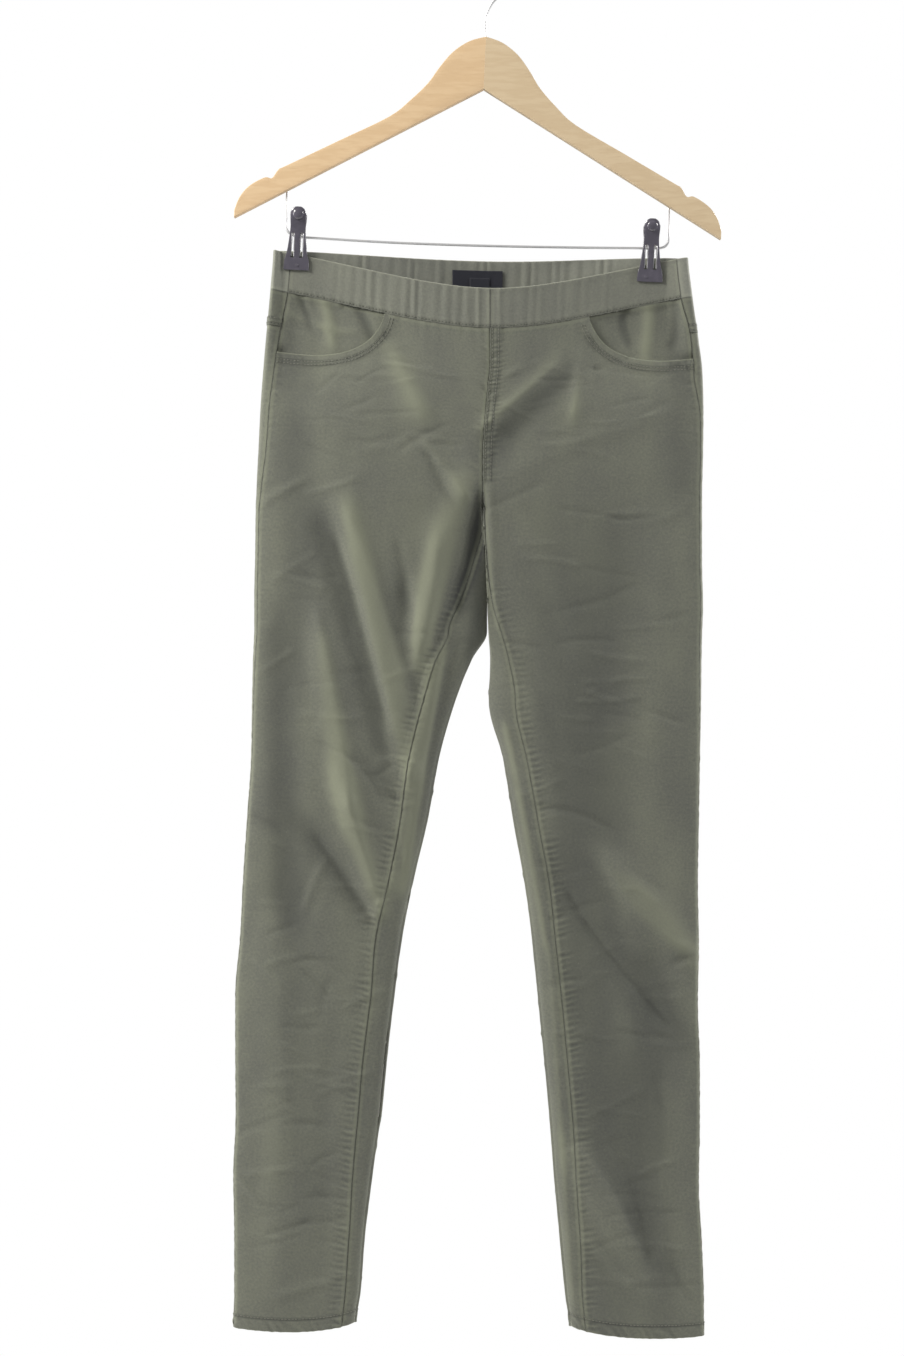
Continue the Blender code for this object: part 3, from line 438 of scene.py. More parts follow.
@dataclass(frozen=True)
class GarmentSurface:
    """The jeans' outer surface, worked out from the section rows and the named sizes."""

    band_top: float = 275.0
    waist_seam: float = 311.0
    fork: float = 491.4
    hem: float = 1258.0
    crotch_rise: float = 30.0
    dip_front: float = 33.0
    dip_back: float = 4.5
    dip_fade: float = 145.0
    lean: float = 0.018
    hem_rise_inner: float = 9.0
    hem_rise_outer: float = 3.0
    base_front: float = 3.0
    base_back: float = 1.7
    tip_turn: float = 0.12
    fold_turn: float = 0.3  # turn over which the folds fade in from the outer fold
    pinch_loop: float = 0.25
    pinch_flat: float = 14.0
    pinch_fade: float = 125.0
    inner_bulge: float = 2.0
    half_gap: float = 0.03
    free_from: float = 600.0  # the level at which the legs come apart
    free_fade: float = 60.0
    hem_fade: float = 90.0

    def section(self, side: Side, level: Array) -> dict[str, Array]:
        """Gives one half's sizes at some levels.

        Args:
            side: The half.
            level: The levels.

        Returns:
            Each column's value, by a smooth curve that never swings past a row.
        """
        rows = np.array(SECTIONS[side])
        knots = rows[:, 0]
        held = np.clip(level, knots[0], knots[-1])
        last = np.clip(np.searchsorted(knots, held, side="right") - 1, 0, len(knots) - 2)
        span = knots[last + 1] - knots[last]
        part = (held - knots[last]) / span
        result = {}
        for index, name in enumerate(COLUMNS):
            values = rows[:, index]
            secants = np.diff(values) / np.diff(knots)
            slopes = np.zeros(len(knots))
            before, after = secants[:-1], secants[1:]
            same = before * after > 0.0
            slopes[1:-1][same] = 2.0 * before[same] * after[same] / (before[same] + after[same])
            result[name] = (
                values[last] * (1.0 - part) ** 2 * (1.0 + 2.0 * part)
                + values[last + 1] * part**2 * (3.0 - 2.0 * part)
                + slopes[last] * span * part * (1.0 - part) ** 2
                - slopes[last + 1] * span * part**2 * (1.0 - part)
            )
        return result

    @staticmethod
    def across(turn: Array, close: Array) -> Array:
        """Gives the share of the width that a turn from 0 to 1 has reached.

        Args:
            turn: The turns.
            close: How far the leg has closed into a tube.

        Returns:
            The shares of the width.
        """
        torso = 1.0 - np.cos(0.5 * math.pi * turn)
        tube = 0.5 * (1.0 - np.cos(math.pi * turn))
        return (1.0 - close) * torso + close * tube

    def turn_at(self, share: Array, close: Array) -> Array:
        """Gives the turn at which the front has reached a share of the width.

        Args:
            share: The shares of the width.
            close: How far the leg has closed into a tube.

        Returns:
            The turns.
        """
        low = np.zeros_like(share)
        high = np.ones_like(share)
        for _ in range(34):
            middle = 0.5 * (low + high)
            short = self.across(middle, close) < share
            low = np.where(short, middle, low)
            high = np.where(short, high, middle)
        return 0.5 * (low + high)

    def side_seam(self, side: Side, level: Array) -> Array:
        """Gives the side seam's turn, a little way in on the front.

        Args:
            side: The half.
            level: The levels.

        Returns:
            The turns.
        """
        row = self.section(side, level)
        return self.turn_at(row["side_seam"] / np.abs(row["inner"] - row["outer"]), row["close"])

    def inseam(self, side: Side, level: Array) -> Array:
        """Gives the inseam's turn on the front.

        Args:
            side: The half.
            level: The levels.

        Returns:
            The turns.
        """
        row = self.section(side, level)
        return self.turn_at(1.0 - row["inseam"] / np.abs(row["inner"] - row["outer"]), row["close"])

    def _pinch(self, side: Side, row: dict[str, Array], share: Array) -> Array:
        """Gives the waist's depth: a side loop, flat at the clip, then a lens to the middle.

        Args:
            side: The half of the garment.
            row: The half's sizes at each level.
            share: Shares of the width.

        Returns:
            The depth as a share of the section's.
        """
        width = np.abs(row["inner"] - row["outer"])
        inset = np.abs(CLIP_PLACES[side][0] - row["outer"])
        start = (inset - self.pinch_flat) / width
        end = (inset + self.pinch_flat) / width
        loop = self.pinch_loop * np.sin(math.pi * np.sqrt(np.clip(share / start, 0.0, 1.0)))
        lens = quarter((share - end) / (1.0 - end)) ** 1.3
        return np.where(share < start, loop, np.where(share < end, 0.0, lens))

    def waist_fade(self, level: Array) -> Array:
        """Gives 1 at the waist seam, fading to 0 where the waist's shape has died out."""
        return 1.0 - smooth((level - self.waist_seam) / self.dip_fade)

    def _free(self, level: Array) -> Array:
        """Gives 0 where the legs lie together and 1 where they hang apart."""
        return smooth((level - self.free_from) / self.free_fade)

    def _face(self, side: Side, face: Face, turn: Array, level: Array) -> tuple[Array, Array, Array]:
        """Gives x, distance from the middle plane and drop on the front or back.

        Args:
            side: The half of the garment.
            face: Which face.
            turn: The turns.
            level: The levels.

        Returns:
            The three numbers of each point.
        """
        row = self.section(side, level)
        share = self.across(turn, row["close"])
        inner = row["inner"] - side.inward * (self.inner_bulge * self._free(level) + self.half_gap)
        x = row["outer"] + (inner - row["outer"]) * share
        tube = (1.0 - row["close"]) * quarter(turn) + row["close"] * np.sin(math.pi * np.clip(turn, 0.0, 1.0))
        hung = smooth((level - self.waist_seam) / self.pinch_fade)
        shape = (1.0 - hung) * self._pinch(side, row, share) + hung * tube
        tip = self._ends(turn, row["close"], self.tip_turn)
        base = self.base_front if face is Face.FRONT else self.base_back
        folds = self._ends(turn, row["close"], self.fold_turn) * hung * heap(MAIN_FOLDS[face], x, level)
        distance = base * tip + row[face.value] * shape + folds
        dip = self.dip_front if face is Face.FRONT else self.dip_back
        profile = 0.5 * smooth(share) + 0.5 * (1.0 - (1.0 - np.clip(share, 0.0, 1.0)) ** 1.7)
        near_hem = smooth((level - self.hem + self.hem_fade) / self.hem_fade)
        rise = near_hem * (self.hem_rise_inner * share**4 + self.hem_rise_outer * (1.0 - share) ** 4)
        return x, distance, level + self.lean * x + dip * profile * self.waist_fade(level) - rise

    @staticmethod
    def _ends(turn: Array, close: Array, reach: float) -> Array:
        """Gives 1 on a face, and 0 at its outer fold and at the inner fold of a closed leg."""
        return quarter(turn / reach) * (1.0 - close * (1.0 - quarter((1.0 - turn) / reach)))

    def point(self, side: Side, turn: Array, level: Array) -> Array:
        """Gives points of the outer surface.

        Args:
            side: The half.
            turn: Where round it.
            level: Where down it.

        Returns:
            Points in millimetres, along a last axis of three.
        """
        turn = np.asarray(turn, float)
        level = np.asarray(level, float) + np.zeros_like(turn)
        turn = np.where(turn > 3.0, turn - 3.0, turn)
        turn = np.where(turn < 0.0, turn + 3.0, turn)
        front = self._face(side, Face.FRONT, np.clip(turn, 0.0, 1.0), level)
        back = self._face(side, Face.BACK, np.clip(3.0 - turn, 0.0, 1.0), level)
        part = np.clip(turn - 1.0, 0.0, 1.0)
        cap_x = front[0] + side.inward * self.inner_bulge * self._free(level) * np.sin(math.pi * part)
        cap_y = -front[1] + (front[1] + back[1]) * part
        cap_z = front[2] + (back[2] - front[2]) * part
        on_front = turn <= 1.0
        on_back = turn >= 2.0
        x = np.where(on_front, front[0], np.where(on_back, back[0], cap_x))
        y = np.where(on_front, -front[1], np.where(on_back, back[1], cap_y))
        z = np.where(on_front, front[2], np.where(on_back, back[2], cap_z))
        return np.stack([x, y, -z], axis=-1)


SURFACE = GarmentSurface()


@dataclass(frozen=True)
class Scatter:
    """Short, faint, mostly level creases over a face, the same each run."""

    count: int
    seed: int
    top: float = 345.0
    depth: float = 885.0
    crowding: float = 1.15  # above 1 there are more toward the waist
    across: tuple[float, float] = (0.12, 0.95)  # shares of the width, least and most
    length: tuple[float, float] = (16.0, 52.0)
    slope: float = 0.32
    bow: float = 0.22
    height: tuple[float, float] = (0.3, 0.8)
    half_width: tuple[float, float] = (1.9, 3.4)
    lean: float = 0.3

    def creases(self) -> list[Fold]:
        """Draws the creases.

        Returns:
            The creases.
        """
        draw = np.random.default_rng(self.seed)
        result = []
        for _ in range(self.count):
            side = Side.RIGHT if draw.random() < 0.5 else Side.LEFT
            level = self.top + self.depth * draw.random() ** self.crowding
            row = SURFACE.section(side, np.array([level]))
            outer, inner = float(row["outer"][0]), float(row["inner"][0])
            x = outer + (inner - outer) * draw.uniform(*self.across)
            reach = 0.5 * draw.uniform(*self.length)
            slope = draw.normal(0.0, self.slope)
            bow = draw.uniform(-self.bow, self.bow) * reach
            height = draw.uniform(*self.height) * draw.choice((-1.0, 1.0))
            first = (x - reach * math.cos(slope), level - reach * math.sin(slope))
            last = (x + reach * math.cos(slope), level + reach * math.sin(slope))
            middle = (x - bow * math.sin(slope), level + bow * math.cos(slope))
            result.append(Fold(first, middle, last, draw.uniform(*self.half_width), height, self.lean))
        return result


FINE_CREASES = {Face.FRONT: Scatter(190, 11).creases(), Face.BACK: Scatter(150, 12).creases()}


# --- spacing of the cloth's grids -------------------------------------------------------------


@dataclass(frozen=True)
class Spacing:
    """How a grid's lines are spaced: close along both edges, even between."""

    near: tuple[float, ...] = (0.0, 0.3, 0.8, 1.6, 2.8, 4.4, 6.4, 8.2, 9.4, 11.5, 14.0)
    pitch: float = 3.3
    bend_weight: float = 6.0  # extra length counted for each radian of bend

    def places(self, length: Array | float) -> Array:
        """Places lines along lengths.

        Args:
            length: One length, or one for each row.

        Returns:
            Places along the length, one row for each.
        """
        length = np.atleast_1d(np.asarray(length, float))
        close = np.array(self.near)
        count = max(2, int(round((float(length.max()) - 2.0 * close[-1]) / self.pitch)))
        middle = np.linspace(0.0, 1.0, count + 1)[1:-1]
        scale = np.minimum(1.0, length / (2.6 * close[-1]))[:, None]
        start = close[None, :] * scale
        end = length[:, None] - start[:, ::-1]
        between = start[:, -1:] + (end[:, :1] - start[:, -1:]) * middle[None, :]
        return np.concatenate([start, between, end], axis=1)


def measure(side: Side, start: Array, end: Array, level: Array,
            samples: int = 481) -> tuple[Array, Array, Array]:
    """Measures the surface along each level.

    Args:
        side: The half of the garment.
        start: The first turn of each level.
        end: The last turn of each level.
        level: The levels.
        samples: How many places are measured.

    Returns:
        The turns, the length reached at each and the bend reached at each.
    """
    turns = start[:, None] + (end - start)[:, None] * np.linspace(0.0, 1.0, samples)[None, :]
    points = SURFACE.point(side, turns, level[:, None] + np.zeros_like(turns))
    runs = np.diff(points, axis=1)
    heading = np.unwrap(np.arctan2(runs[..., 1], runs[..., 0]), axis=1)
    bends = np.abs(np.diff(heading, axis=1, prepend=heading[:, :1]))
    none = np.zeros((len(level), 1))
    lengths = np.concatenate([none, np.cumsum(np.linalg.norm(runs, axis=-1), axis=1)], axis=1)
    return turns, lengths, np.concatenate([none, np.cumsum(bends, axis=1)], axis=1)


def spread(side: Side, start: Array, end: Array, level: Array, spacing: Spacing,
           drop: Callable[[Array], Array] | None = None) -> tuple[Array, Array]:
    """Spaces turns along each level.

    Args:
        side: The half of the garment.
        start: The first turn of each level.
        end: The last turn of each level.
        level: The levels.
        spacing: How they are spaced.
        drop: How far a shaped top edge falls at each share of the length, if it is shaped.

    Returns:
        The turns, and each one's share of the length.
    """
    turns, lengths, bends = measure(side, start, end, level)
    shares = lengths / lengths[:, -1:]
    run = np.diff(lengths, axis=1)
    if drop is not None:
        run = np.hypot(run, np.diff(drop(shares), axis=1))
    run = run + spacing.bend_weight * np.diff(bends, axis=1)
    reached = np.concatenate([np.zeros((len(level), 1)), np.cumsum(run, axis=1)], axis=1)
    places = spacing.places(reached[:, -1])
    rows = [np.stack([np.interp(place, there, turn), np.interp(place, there, share)])
            for place, there, turn, share in zip(places, reached, turns, shares)]
    return np.stack([row[0] for row in rows]), np.stack([row[1] for row in rows])


def seam_step(side: Side, turn: Array, level: Array, distance: float) -> Array:
    """Gives the change of turn that moves a point by a distance.

    Args:
        side: The half of the garment.
        turn: The turns.
        level: The levels.
        distance: The distance in millimetres.

    Returns:
        The changes of turn.
    """
    step = 0.004
    run = SURFACE.point(side, turn + step, level) - SURFACE.point(side, turn - step, level)
    return distance * 2.0 * step / np.maximum(1e-6, np.linalg.norm(run, axis=-1))


# --- cloth pieces -----------------------------------------------------------------------------


@dataclass(frozen=True)
class EdgeFinish:
    """How one edge of a cloth piece is sewn."""

    edge: Edge
    raised: float = 0.0  # height of the doubled strip along it
    width: float = 8.0  # width of that strip
    pucker: float = 0.0  # height of the puckers drawn up by the thread
    pitch: float = 8.8
    reach: float = 9.0  # how far the puckers run into the cloth
    slant: float = 0.35
    ladder: float = 0.0  # strength of the fine puckers across it
    lines: tuple[float, ...] = ()  # distances of the rows of stitches from the edge
    span: tuple[float, float] = (-1e5, 1e5)  # levels, or x along a top or bottom edge

    def share(self, along: Array) -> Array:
        """Gives 1 within the span and 0 outside it.

        Args:
            along: Places along the edge.

        Returns:
            The shares.
        """
        return smooth((along - self.span[0] + 3.0) / 6.0) * smooth((self.span[1] - along + 3.0) / 6.0)


@dataclass
class Cut:
    """Where a cloth piece lies on the garment, point by point."""

    points: Array
    turn: Array
    level: Array
    close: Array
    facing: float

    @classmethod
    def on(cls, side: Side, turn: Array, level: Array) -> "Cut":
        """Lays a grid of turns and levels on one half of the garment."""
        close = SURFACE.section(side, level)["close"]
        return cls(SURFACE.point(side, turn, level), turn, level, close, side.inward)

    @classmethod
    def joined(cls, right: "Cut", left: "Cut") -> "Cut":
        """Joins two halves that meet on the middle line into one grid, from right to left.

        Args:
            right: The right half.
            left: The left half.

        Returns:
            The whole grid.
        """
        parts = [
            np.concatenate([a[:, ::-1], b[:, 1:]], axis=1)
            for a, b in ((right.points, left.points), (right.turn, left.turn), (right.level, left.level),
                         (right.close, left.close))
        ]
        return cls(*parts, facing=-1.0)


@dataclass
class ClothPiece:
    """A thin shell of cloth, with its distances from each edge and its sewn relief."""

    name: str
    cut: Cut
    wall: Array | float
    finishes: tuple[EdgeFinish, ...] = ()
    inset: Array | float = 0.0
    seed: float = 0.0
    crumple: float = 1.0
    worn_front: float = 0.42  # share of the front's main folds painted as light on ridges and shade in troughs
    # share of the back's main folds painted as light on ridges and shade in troughs
    worn_back: float = 0.24
    free: tuple[Edge, ...] = ()  # edges that aren't sewn to another piece
    extra: Callable[["ClothPiece"], Array] | None = None
    outer: Array = field(init=False)
    normals: Array = field(init=False)
    relief: Array = field(init=False)
    strips: Array = field(init=False)  # height of the doubled strips
    marks: Array = field(init=False)  # 1 along each row of stitches
    ladder: Array = field(init=False)  # how strongly the thread of an upright seam draws up puckers
    lip: Array = field(init=False)  # distance from the nearest free edge
    distance: dict[Edge, Array] = field(init=False)
    NO_EDGE = 1e3
    # How a shell's edge is rounded: share of the wall that it gives up, and over what distance.
    FREE_ROUNDING = (0.46, 0.8)
    SEWN_ROUNDING = (0.14, 0.45)
    # The uneven hang, from slow to small: height, and for each of two crossing waves its share of
    # x, its share of level, its seed and its length.
    SWAYS = (
        (0.55, (1.0, 0.4, 1.1, 150.0), (-0.3, 1.0, 2.3, 190.0)),
        (0.22, (0.8, 1.0, 3.1, 46.0), (1.0, -0.5, 0.7, 60.0)),
        (0.10, (-1.1, 1.0, 5.1, 21.0), (1.0, 0.35, 1.9, 17.0)),
    )

    def __post_init__(self) -> None:
        """Works out the sewn and creased surface."""
        base = self.cut.points
        self.normals = self._facing(base)
        base = base - self.normals * (self.inset + np.zeros(base.shape[:2]))[..., None]
        self.outer = base
        self._measure(base)
        self.marks = np.zeros(base.shape[:2])
        self.strips = np.zeros(base.shape[:2])
        self.ladder = np.zeros(base.shape[:2])
        self.lip = self._nearest(self.free)
        sewing = self._seams(base)
        if self.extra is not None:
            sewing = sewing + self.extra(self)
        creases = self._creases(base)
        lift = sewing + self.strips + creases
        # relief is used only in the colour: painted light where it is high, partly pale wear, and painted
        # shade where it is low
        self.relief = sewing + 0.25 * creases + self._painted_fold_shading(base)
        self.outer = base + self.normals * lift[..., None]
        self.normals = self._facing(self.outer)

    def _facing(self, grid: Array) -> Array:
        """Gives unit normals out of the garment."""
        normal = np.cross(np.gradient(grid, axis=0), np.gradient(grid, axis=1)) * self.cut.facing
        return normal / np.maximum(1e-9, np.linalg.norm(normal, axis=-1, keepdims=True))

    def _measure(self, grid: Array) -> None:
        """Measures how far each point lies from the piece's four edges.

        Args:
            grid: The piece's points.
        """
        across = np.linalg.norm(np.diff(grid, axis=1), axis=-1)
        down = np.linalg.norm(np.diff(grid, axis=0), axis=-1)
        start = np.concatenate([np.zeros((len(grid), 1)), np.cumsum(across, axis=1)], axis=1)
        top = np.concatenate([np.zeros((1, grid.shape[1])), np.cumsum(down, axis=0)], axis=0)
        self.distance = {
            Edge.START: start,
            Edge.END: start[:, -1:] - start,
            Edge.TOP: top,
            Edge.BOTTOM: top[-1:] - top,
        }

    def _nearest(self, edges: Sequence[Edge]) -> Array:
        """Gives the distance from the nearest of some edges, or NO_EDGE where there is none."""
        return np.minimum.reduce([np.full(self.distance[Edge.TOP].shape, self.NO_EDGE)]
                                 + [self.distance[edge] for edge in edges])

    def _along(self, edge: Edge, grid: Array) -> Array:
        """Gives the places along an edge: levels beside it, x on a top or bottom edge."""
        return self.cut.level if edge in (Edge.START, Edge.END) else grid[..., 0]

    def _seams(self, grid: Array) -> Array:
        """Gives the height of the doubled strips, puckers and thread grooves along the edges.

        Args:
            grid: The piece's points.

        Returns:
            Heights in millimetres.
        """
        lift = np.zeros(self.cut.turn.shape)
        for number, finish in enumerate(self.finishes):
            away = self.distance[finish.edge]
            along = self._along(finish.edge, grid)
            share = finish.share(along)
            lift += share * sewn(away, along, finish, self.seed + 1.3 * number)
            self.marks = np.maximum(self.marks, share * stitched(away, finish))
            self.strips += share * doubled(away, finish)
            beyond = np.maximum(0.0, away - finish.width) / finish.reach
            fade = np.exp(-(beyond**2)) * smooth(away / 2.5)
            self.ladder = np.maximum(self.ladder, share * finish.ladder * fade)
        return lift

    def _painted_fold_shading(self, grid: Array) -> Array:
        """Gives the painted light and shade of the main folds and of the front's table of painted light and
        shade.

        Args:
            grid: The piece's points.

        Returns:
            Heights in millimetres.
        """
        x, level, front = grid[..., 0], self.cut.level, grid[..., 1] < 0.0
        on_front = self.worn_front * heap(MAIN_FOLDS[Face.FRONT], x, level) + heap(PAINTED_LIGHT_AND_SHADE, x, level)
        on_back = self.worn_back * heap(MAIN_FOLDS[Face.BACK], x, level)
        return self.crumple * smooth((level - SURFACE.waist_seam) / 50.0) * np.where(front, on_front, on_back)

    def _creases(self, grid: Array) -> Array:
        """Gives the height of the creases and of the cloth's uneven hang.

        Args:
            grid: The piece's points.

        Returns:
            Heights in millimetres.
        """
        x = grid[..., 0]
        level = self.cut.level
        front = grid[..., 1] < 0.0
        turn = np.mod(self.cut.turn, 3.0)
        folded = np.minimum(turn, 3.0 - turn)
        inner = np.where(front, np.abs(1.0 - turn), np.abs(turn - 2.0))
        keep = smooth(folded / 0.22) * (1.0 - self.cut.close * (1.0 - smooth(inner / 0.2)))
        lift = np.zeros(x.shape)
        for face, here in ((Face.FRONT, front), (Face.BACK, ~front)):
            lift += np.where(here, heap(CREASES[face], x, level), 0.0)
            for fold in FINE_CREASES[face]:
                reach = 0.5 * abs(fold.end[0] - fold.start[0]) + 4.0 * fold.half_width
                near = here & (np.abs(x - fold.bend[0]) < reach) & (np.abs(level - fold.bend[1]) < reach)
                if near.any():
                    lift[near] += fold.lift(x[near], level[near])
        hung = smooth((level - SURFACE.waist_seam) / 60.0)
        slow, quick, small = (self._sway(x, level, *sway) for sway in self.SWAYS)
        return keep * self.crumple * (lift * hung + slow * hung + (quick + small) * (0.3 + 0.7 * hung))

    @staticmethod
    def _sway(x: Array, level: Array, height: float, *waves: tuple[float, ...]) -> Array:
        """Gives a lift that rises where two crossing waves do."""
        for across, down, seed, reach in waves:
            height = height * wander(across * x + down * level, seed, reach)
        return height

    def line(self, finish: EdgeFinish, offset: float) -> tuple[Array, Array]:
        """Gives a route on the finished surface at a distance from an edge.

        Args:
            finish: The finish of the edge that it follows.
            offset: Its distance from that edge.

        Returns:
            Points and normals along it.
        """
        away = self.distance[finish.edge]
        along = self._along(finish.edge, self.outer)
        outer, normals = self.outer, self.normals
        if finish.edge in (Edge.TOP, Edge.BOTTOM):
            away, along = away.T, along.T
            outer, normals = outer.transpose(1, 0, 2), normals.transpose(1, 0, 2)
        points, facing = [], []
        for row in range(len(away)):
            order = np.argsort(away[row])
            place = away[row][order]
            here = float(np.interp(offset, place, along[row][order]))
            if place[-1] < offset or not finish.span[0] <= here <= finish.span[1]:
                continue
            points.append([np.interp(offset, place, outer[row][order][:, axis]) for axis in range(3)])
            facing.append([np.interp(offset, place, normals[row][order][:, axis]) for axis in range(3)])
        return np.array(points), np.array(facing)

    def follow(self, route: Array) -> tuple[Array, Array]:
        """Lays a route, given as x and z, on the piece's front or back face.

        Args:
            route: Its points.

        Returns:
            Points and normals along it.
        """
        grid = self.outer.reshape(-1, 3)
        facing = self.normals.reshape(-1, 3)
        apart = ((grid[None, :, [0, 2]] - route[:, None, :]) ** 2).sum(axis=-1)
        nearest = np.argpartition(apart, 4, axis=1)[:, :4]
        weight = 1.0 / (np.take_along_axis(apart, nearest, axis=1) + 0.05)
        weight /= weight.sum(axis=1, keepdims=True)
        depth = (grid[nearest][..., 1] * weight).sum(axis=1)
        normal = (facing[nearest] * weight[..., None]).sum(axis=1)
        return np.stack([route[:, 0], depth, route[:, 1]], axis=-1), normal

    def build(self, material: bpy.types.Material) -> bpy.types.Object:
        """Makes the closed shell, with rounded edges, a cloth map and its relief.

        Args:
            material: The cloth's finish.

        Returns:
            The shell.
        """
        rows, columns = self.relief.shape
        wall = self.wall + np.zeros(self.relief.shape)
        pulled = np.zeros(self.relief.shape)
        for edge in Edge:
            share, reach = self.FREE_ROUNDING if edge in self.free else self.SEWN_ROUNDING
            left = 1.0 - np.clip(self.distance[edge] / reach, 0.0, 1.0)
            pulled = np.maximum(pulled, share * wall * (1.0 - np.sqrt(1.0 - left**2)))
        outer = self.outer - self.normals * pulled[..., None]
        inner = self.outer - self.normals * (wall - pulled)[..., None]
        count = rows * columns
        points = np.concatenate([outer.reshape(-1, 3), inner.reshape(-1, 3)]) * MM
        index = np.arange(count).reshape(rows, columns)
        corners = (index[:-1, :-1], index[1:, :-1], index[1:, 1:], index[:-1, 1:])
        quads = np.stack(corners, axis=-1).reshape(-1, 4)
        rim = np.concatenate([index[0, :], index[1:, -1], index[-1, -2::-1], index[-2:0:-1, 0]])
        after = np.roll(rim, -1)
        walls = np.stack([rim, after, after + count, rim + count], axis=-1)
        faces = np.concatenate([quads, quads[:, ::-1] + count, walls])
        if self.cut.facing < 0.0:
            faces = faces[:, ::-1]
        piece = mesh_piece(self.name, points, faces, material)
        mesh = piece.data
        corner = np.zeros(len(mesh.loops), np.int32)
        mesh.loops.foreach_get("vertex_index", corner)
        across = np.tile(self.distance[Edge.START].reshape(-1), 2) * MM
        down = np.tile(-self.cut.level.reshape(-1), 2) * MM
        cloth_map = mesh.uv_layers.new(name="cloth")
        cloth_map.data.foreach_set("uv", np.stack([across, down], axis=-1)[corner].reshape(-1))
        seam = self._nearest([edge for edge in Edge if edge not in self.free])
        seam = np.where(self.lip < seam + 0.4, self.NO_EDGE, seam)
        for label in ("relief", "seam", "lip", "marks", "ladder"):
            values = seam if label == "seam" else getattr(self, label)
            attribute = mesh.attributes.new(label, "FLOAT", "POINT")
            attribute.data.foreach_set("value", np.tile(values.reshape(-1), 2))
        return piece

    def flat(self) -> tuple[float, float, float]:
        """Gives the flat cut's width, length and area, in metres.

        Returns:
            The width, the length and the area.
        """
        width = float(self.distance[Edge.START][:, -1].max()) * MM
        length = float(self.distance[Edge.TOP][-1].max()) * MM
        across = self.outer[1:, 1:] - self.outer[:-1, :-1]
        down = self.outer[1:, :-1] - self.outer[:-1, 1:]
        area = 0.5 * float(np.linalg.norm(np.cross(across, down), axis=-1).sum()) * MM * MM
        return width, length, min(area, width * length)


def sewn(away: Array, along: Array, finish: EdgeFinish, seed: float) -> Array:
    """Gives the relief that sewing leaves beside an edge.

    Args:
        away: Distances from the edge.
        along: Places along the edge.
        finish: How it is sewn.
        seed: A number that sets its puckers apart from others.

    Returns:
        Heights in millimetres.
    """
    lift = -0.25 * stitched(away, finish)
    if finish.pucker:
        phase = (along + finish.slant * away) / finish.pitch + 0.55 * wander(along, seed, 70.0)
        wave = np.sin(2.0 * math.pi * phase) + 0.45 * np.sin(3.33 * phase + seed)
        strength = 0.65 + 0.5 * wander(along, seed + 2.0, 44.0)
        fade = np.exp(-np.maximum(0.0, away - 0.6 * finish.width) / finish.reach)
        lift = lift + finish.pucker * wave * strength * fade * smooth((away + 0.5) / 2.0)
    return lift


def doubled(away: Array, finish: EdgeFinish) -> Array:
    """Gives the height of the doubled strip along an edge."""
    return finish.raised * (1.0 - smooth((away - finish.width) / 1.4))


def stitched(away: Array, finish: EdgeFinish) -> Array:
    """Gives 1 along the rows of stitches beside an edge, fading to 0 away from them.

    Args:
        away: Distances from the edge.
        finish: How it is sewn.

    Returns:
        The strength at each point.
    """
    marks = np.zeros(away.shape)
    for line in finish.lines:
        marks = np.maximum(marks, np.exp(-(((away - line) / 0.9) ** 2)))
    return marks


def mesh_piece(name: str, points: Array, faces: Array, material: bpy.types.Material) -> bpy.types.Object:
    """Makes a smooth-shaded mesh piece.

    Args:
        name: Its name.
        points: Its points, in metres.
        faces: Its faces.
        material: Its finish.

    Returns:
        The piece.
    """
    mesh = bpy.data.meshes.new(name)
    mesh.from_pydata(points.tolist(), [], faces.tolist())
    mesh.shade_smooth()
    mesh.materials.append(material)
    piece = bpy.data.objects.new(name, mesh)
    bpy.context.scene.collection.objects.link(piece)
    return piece


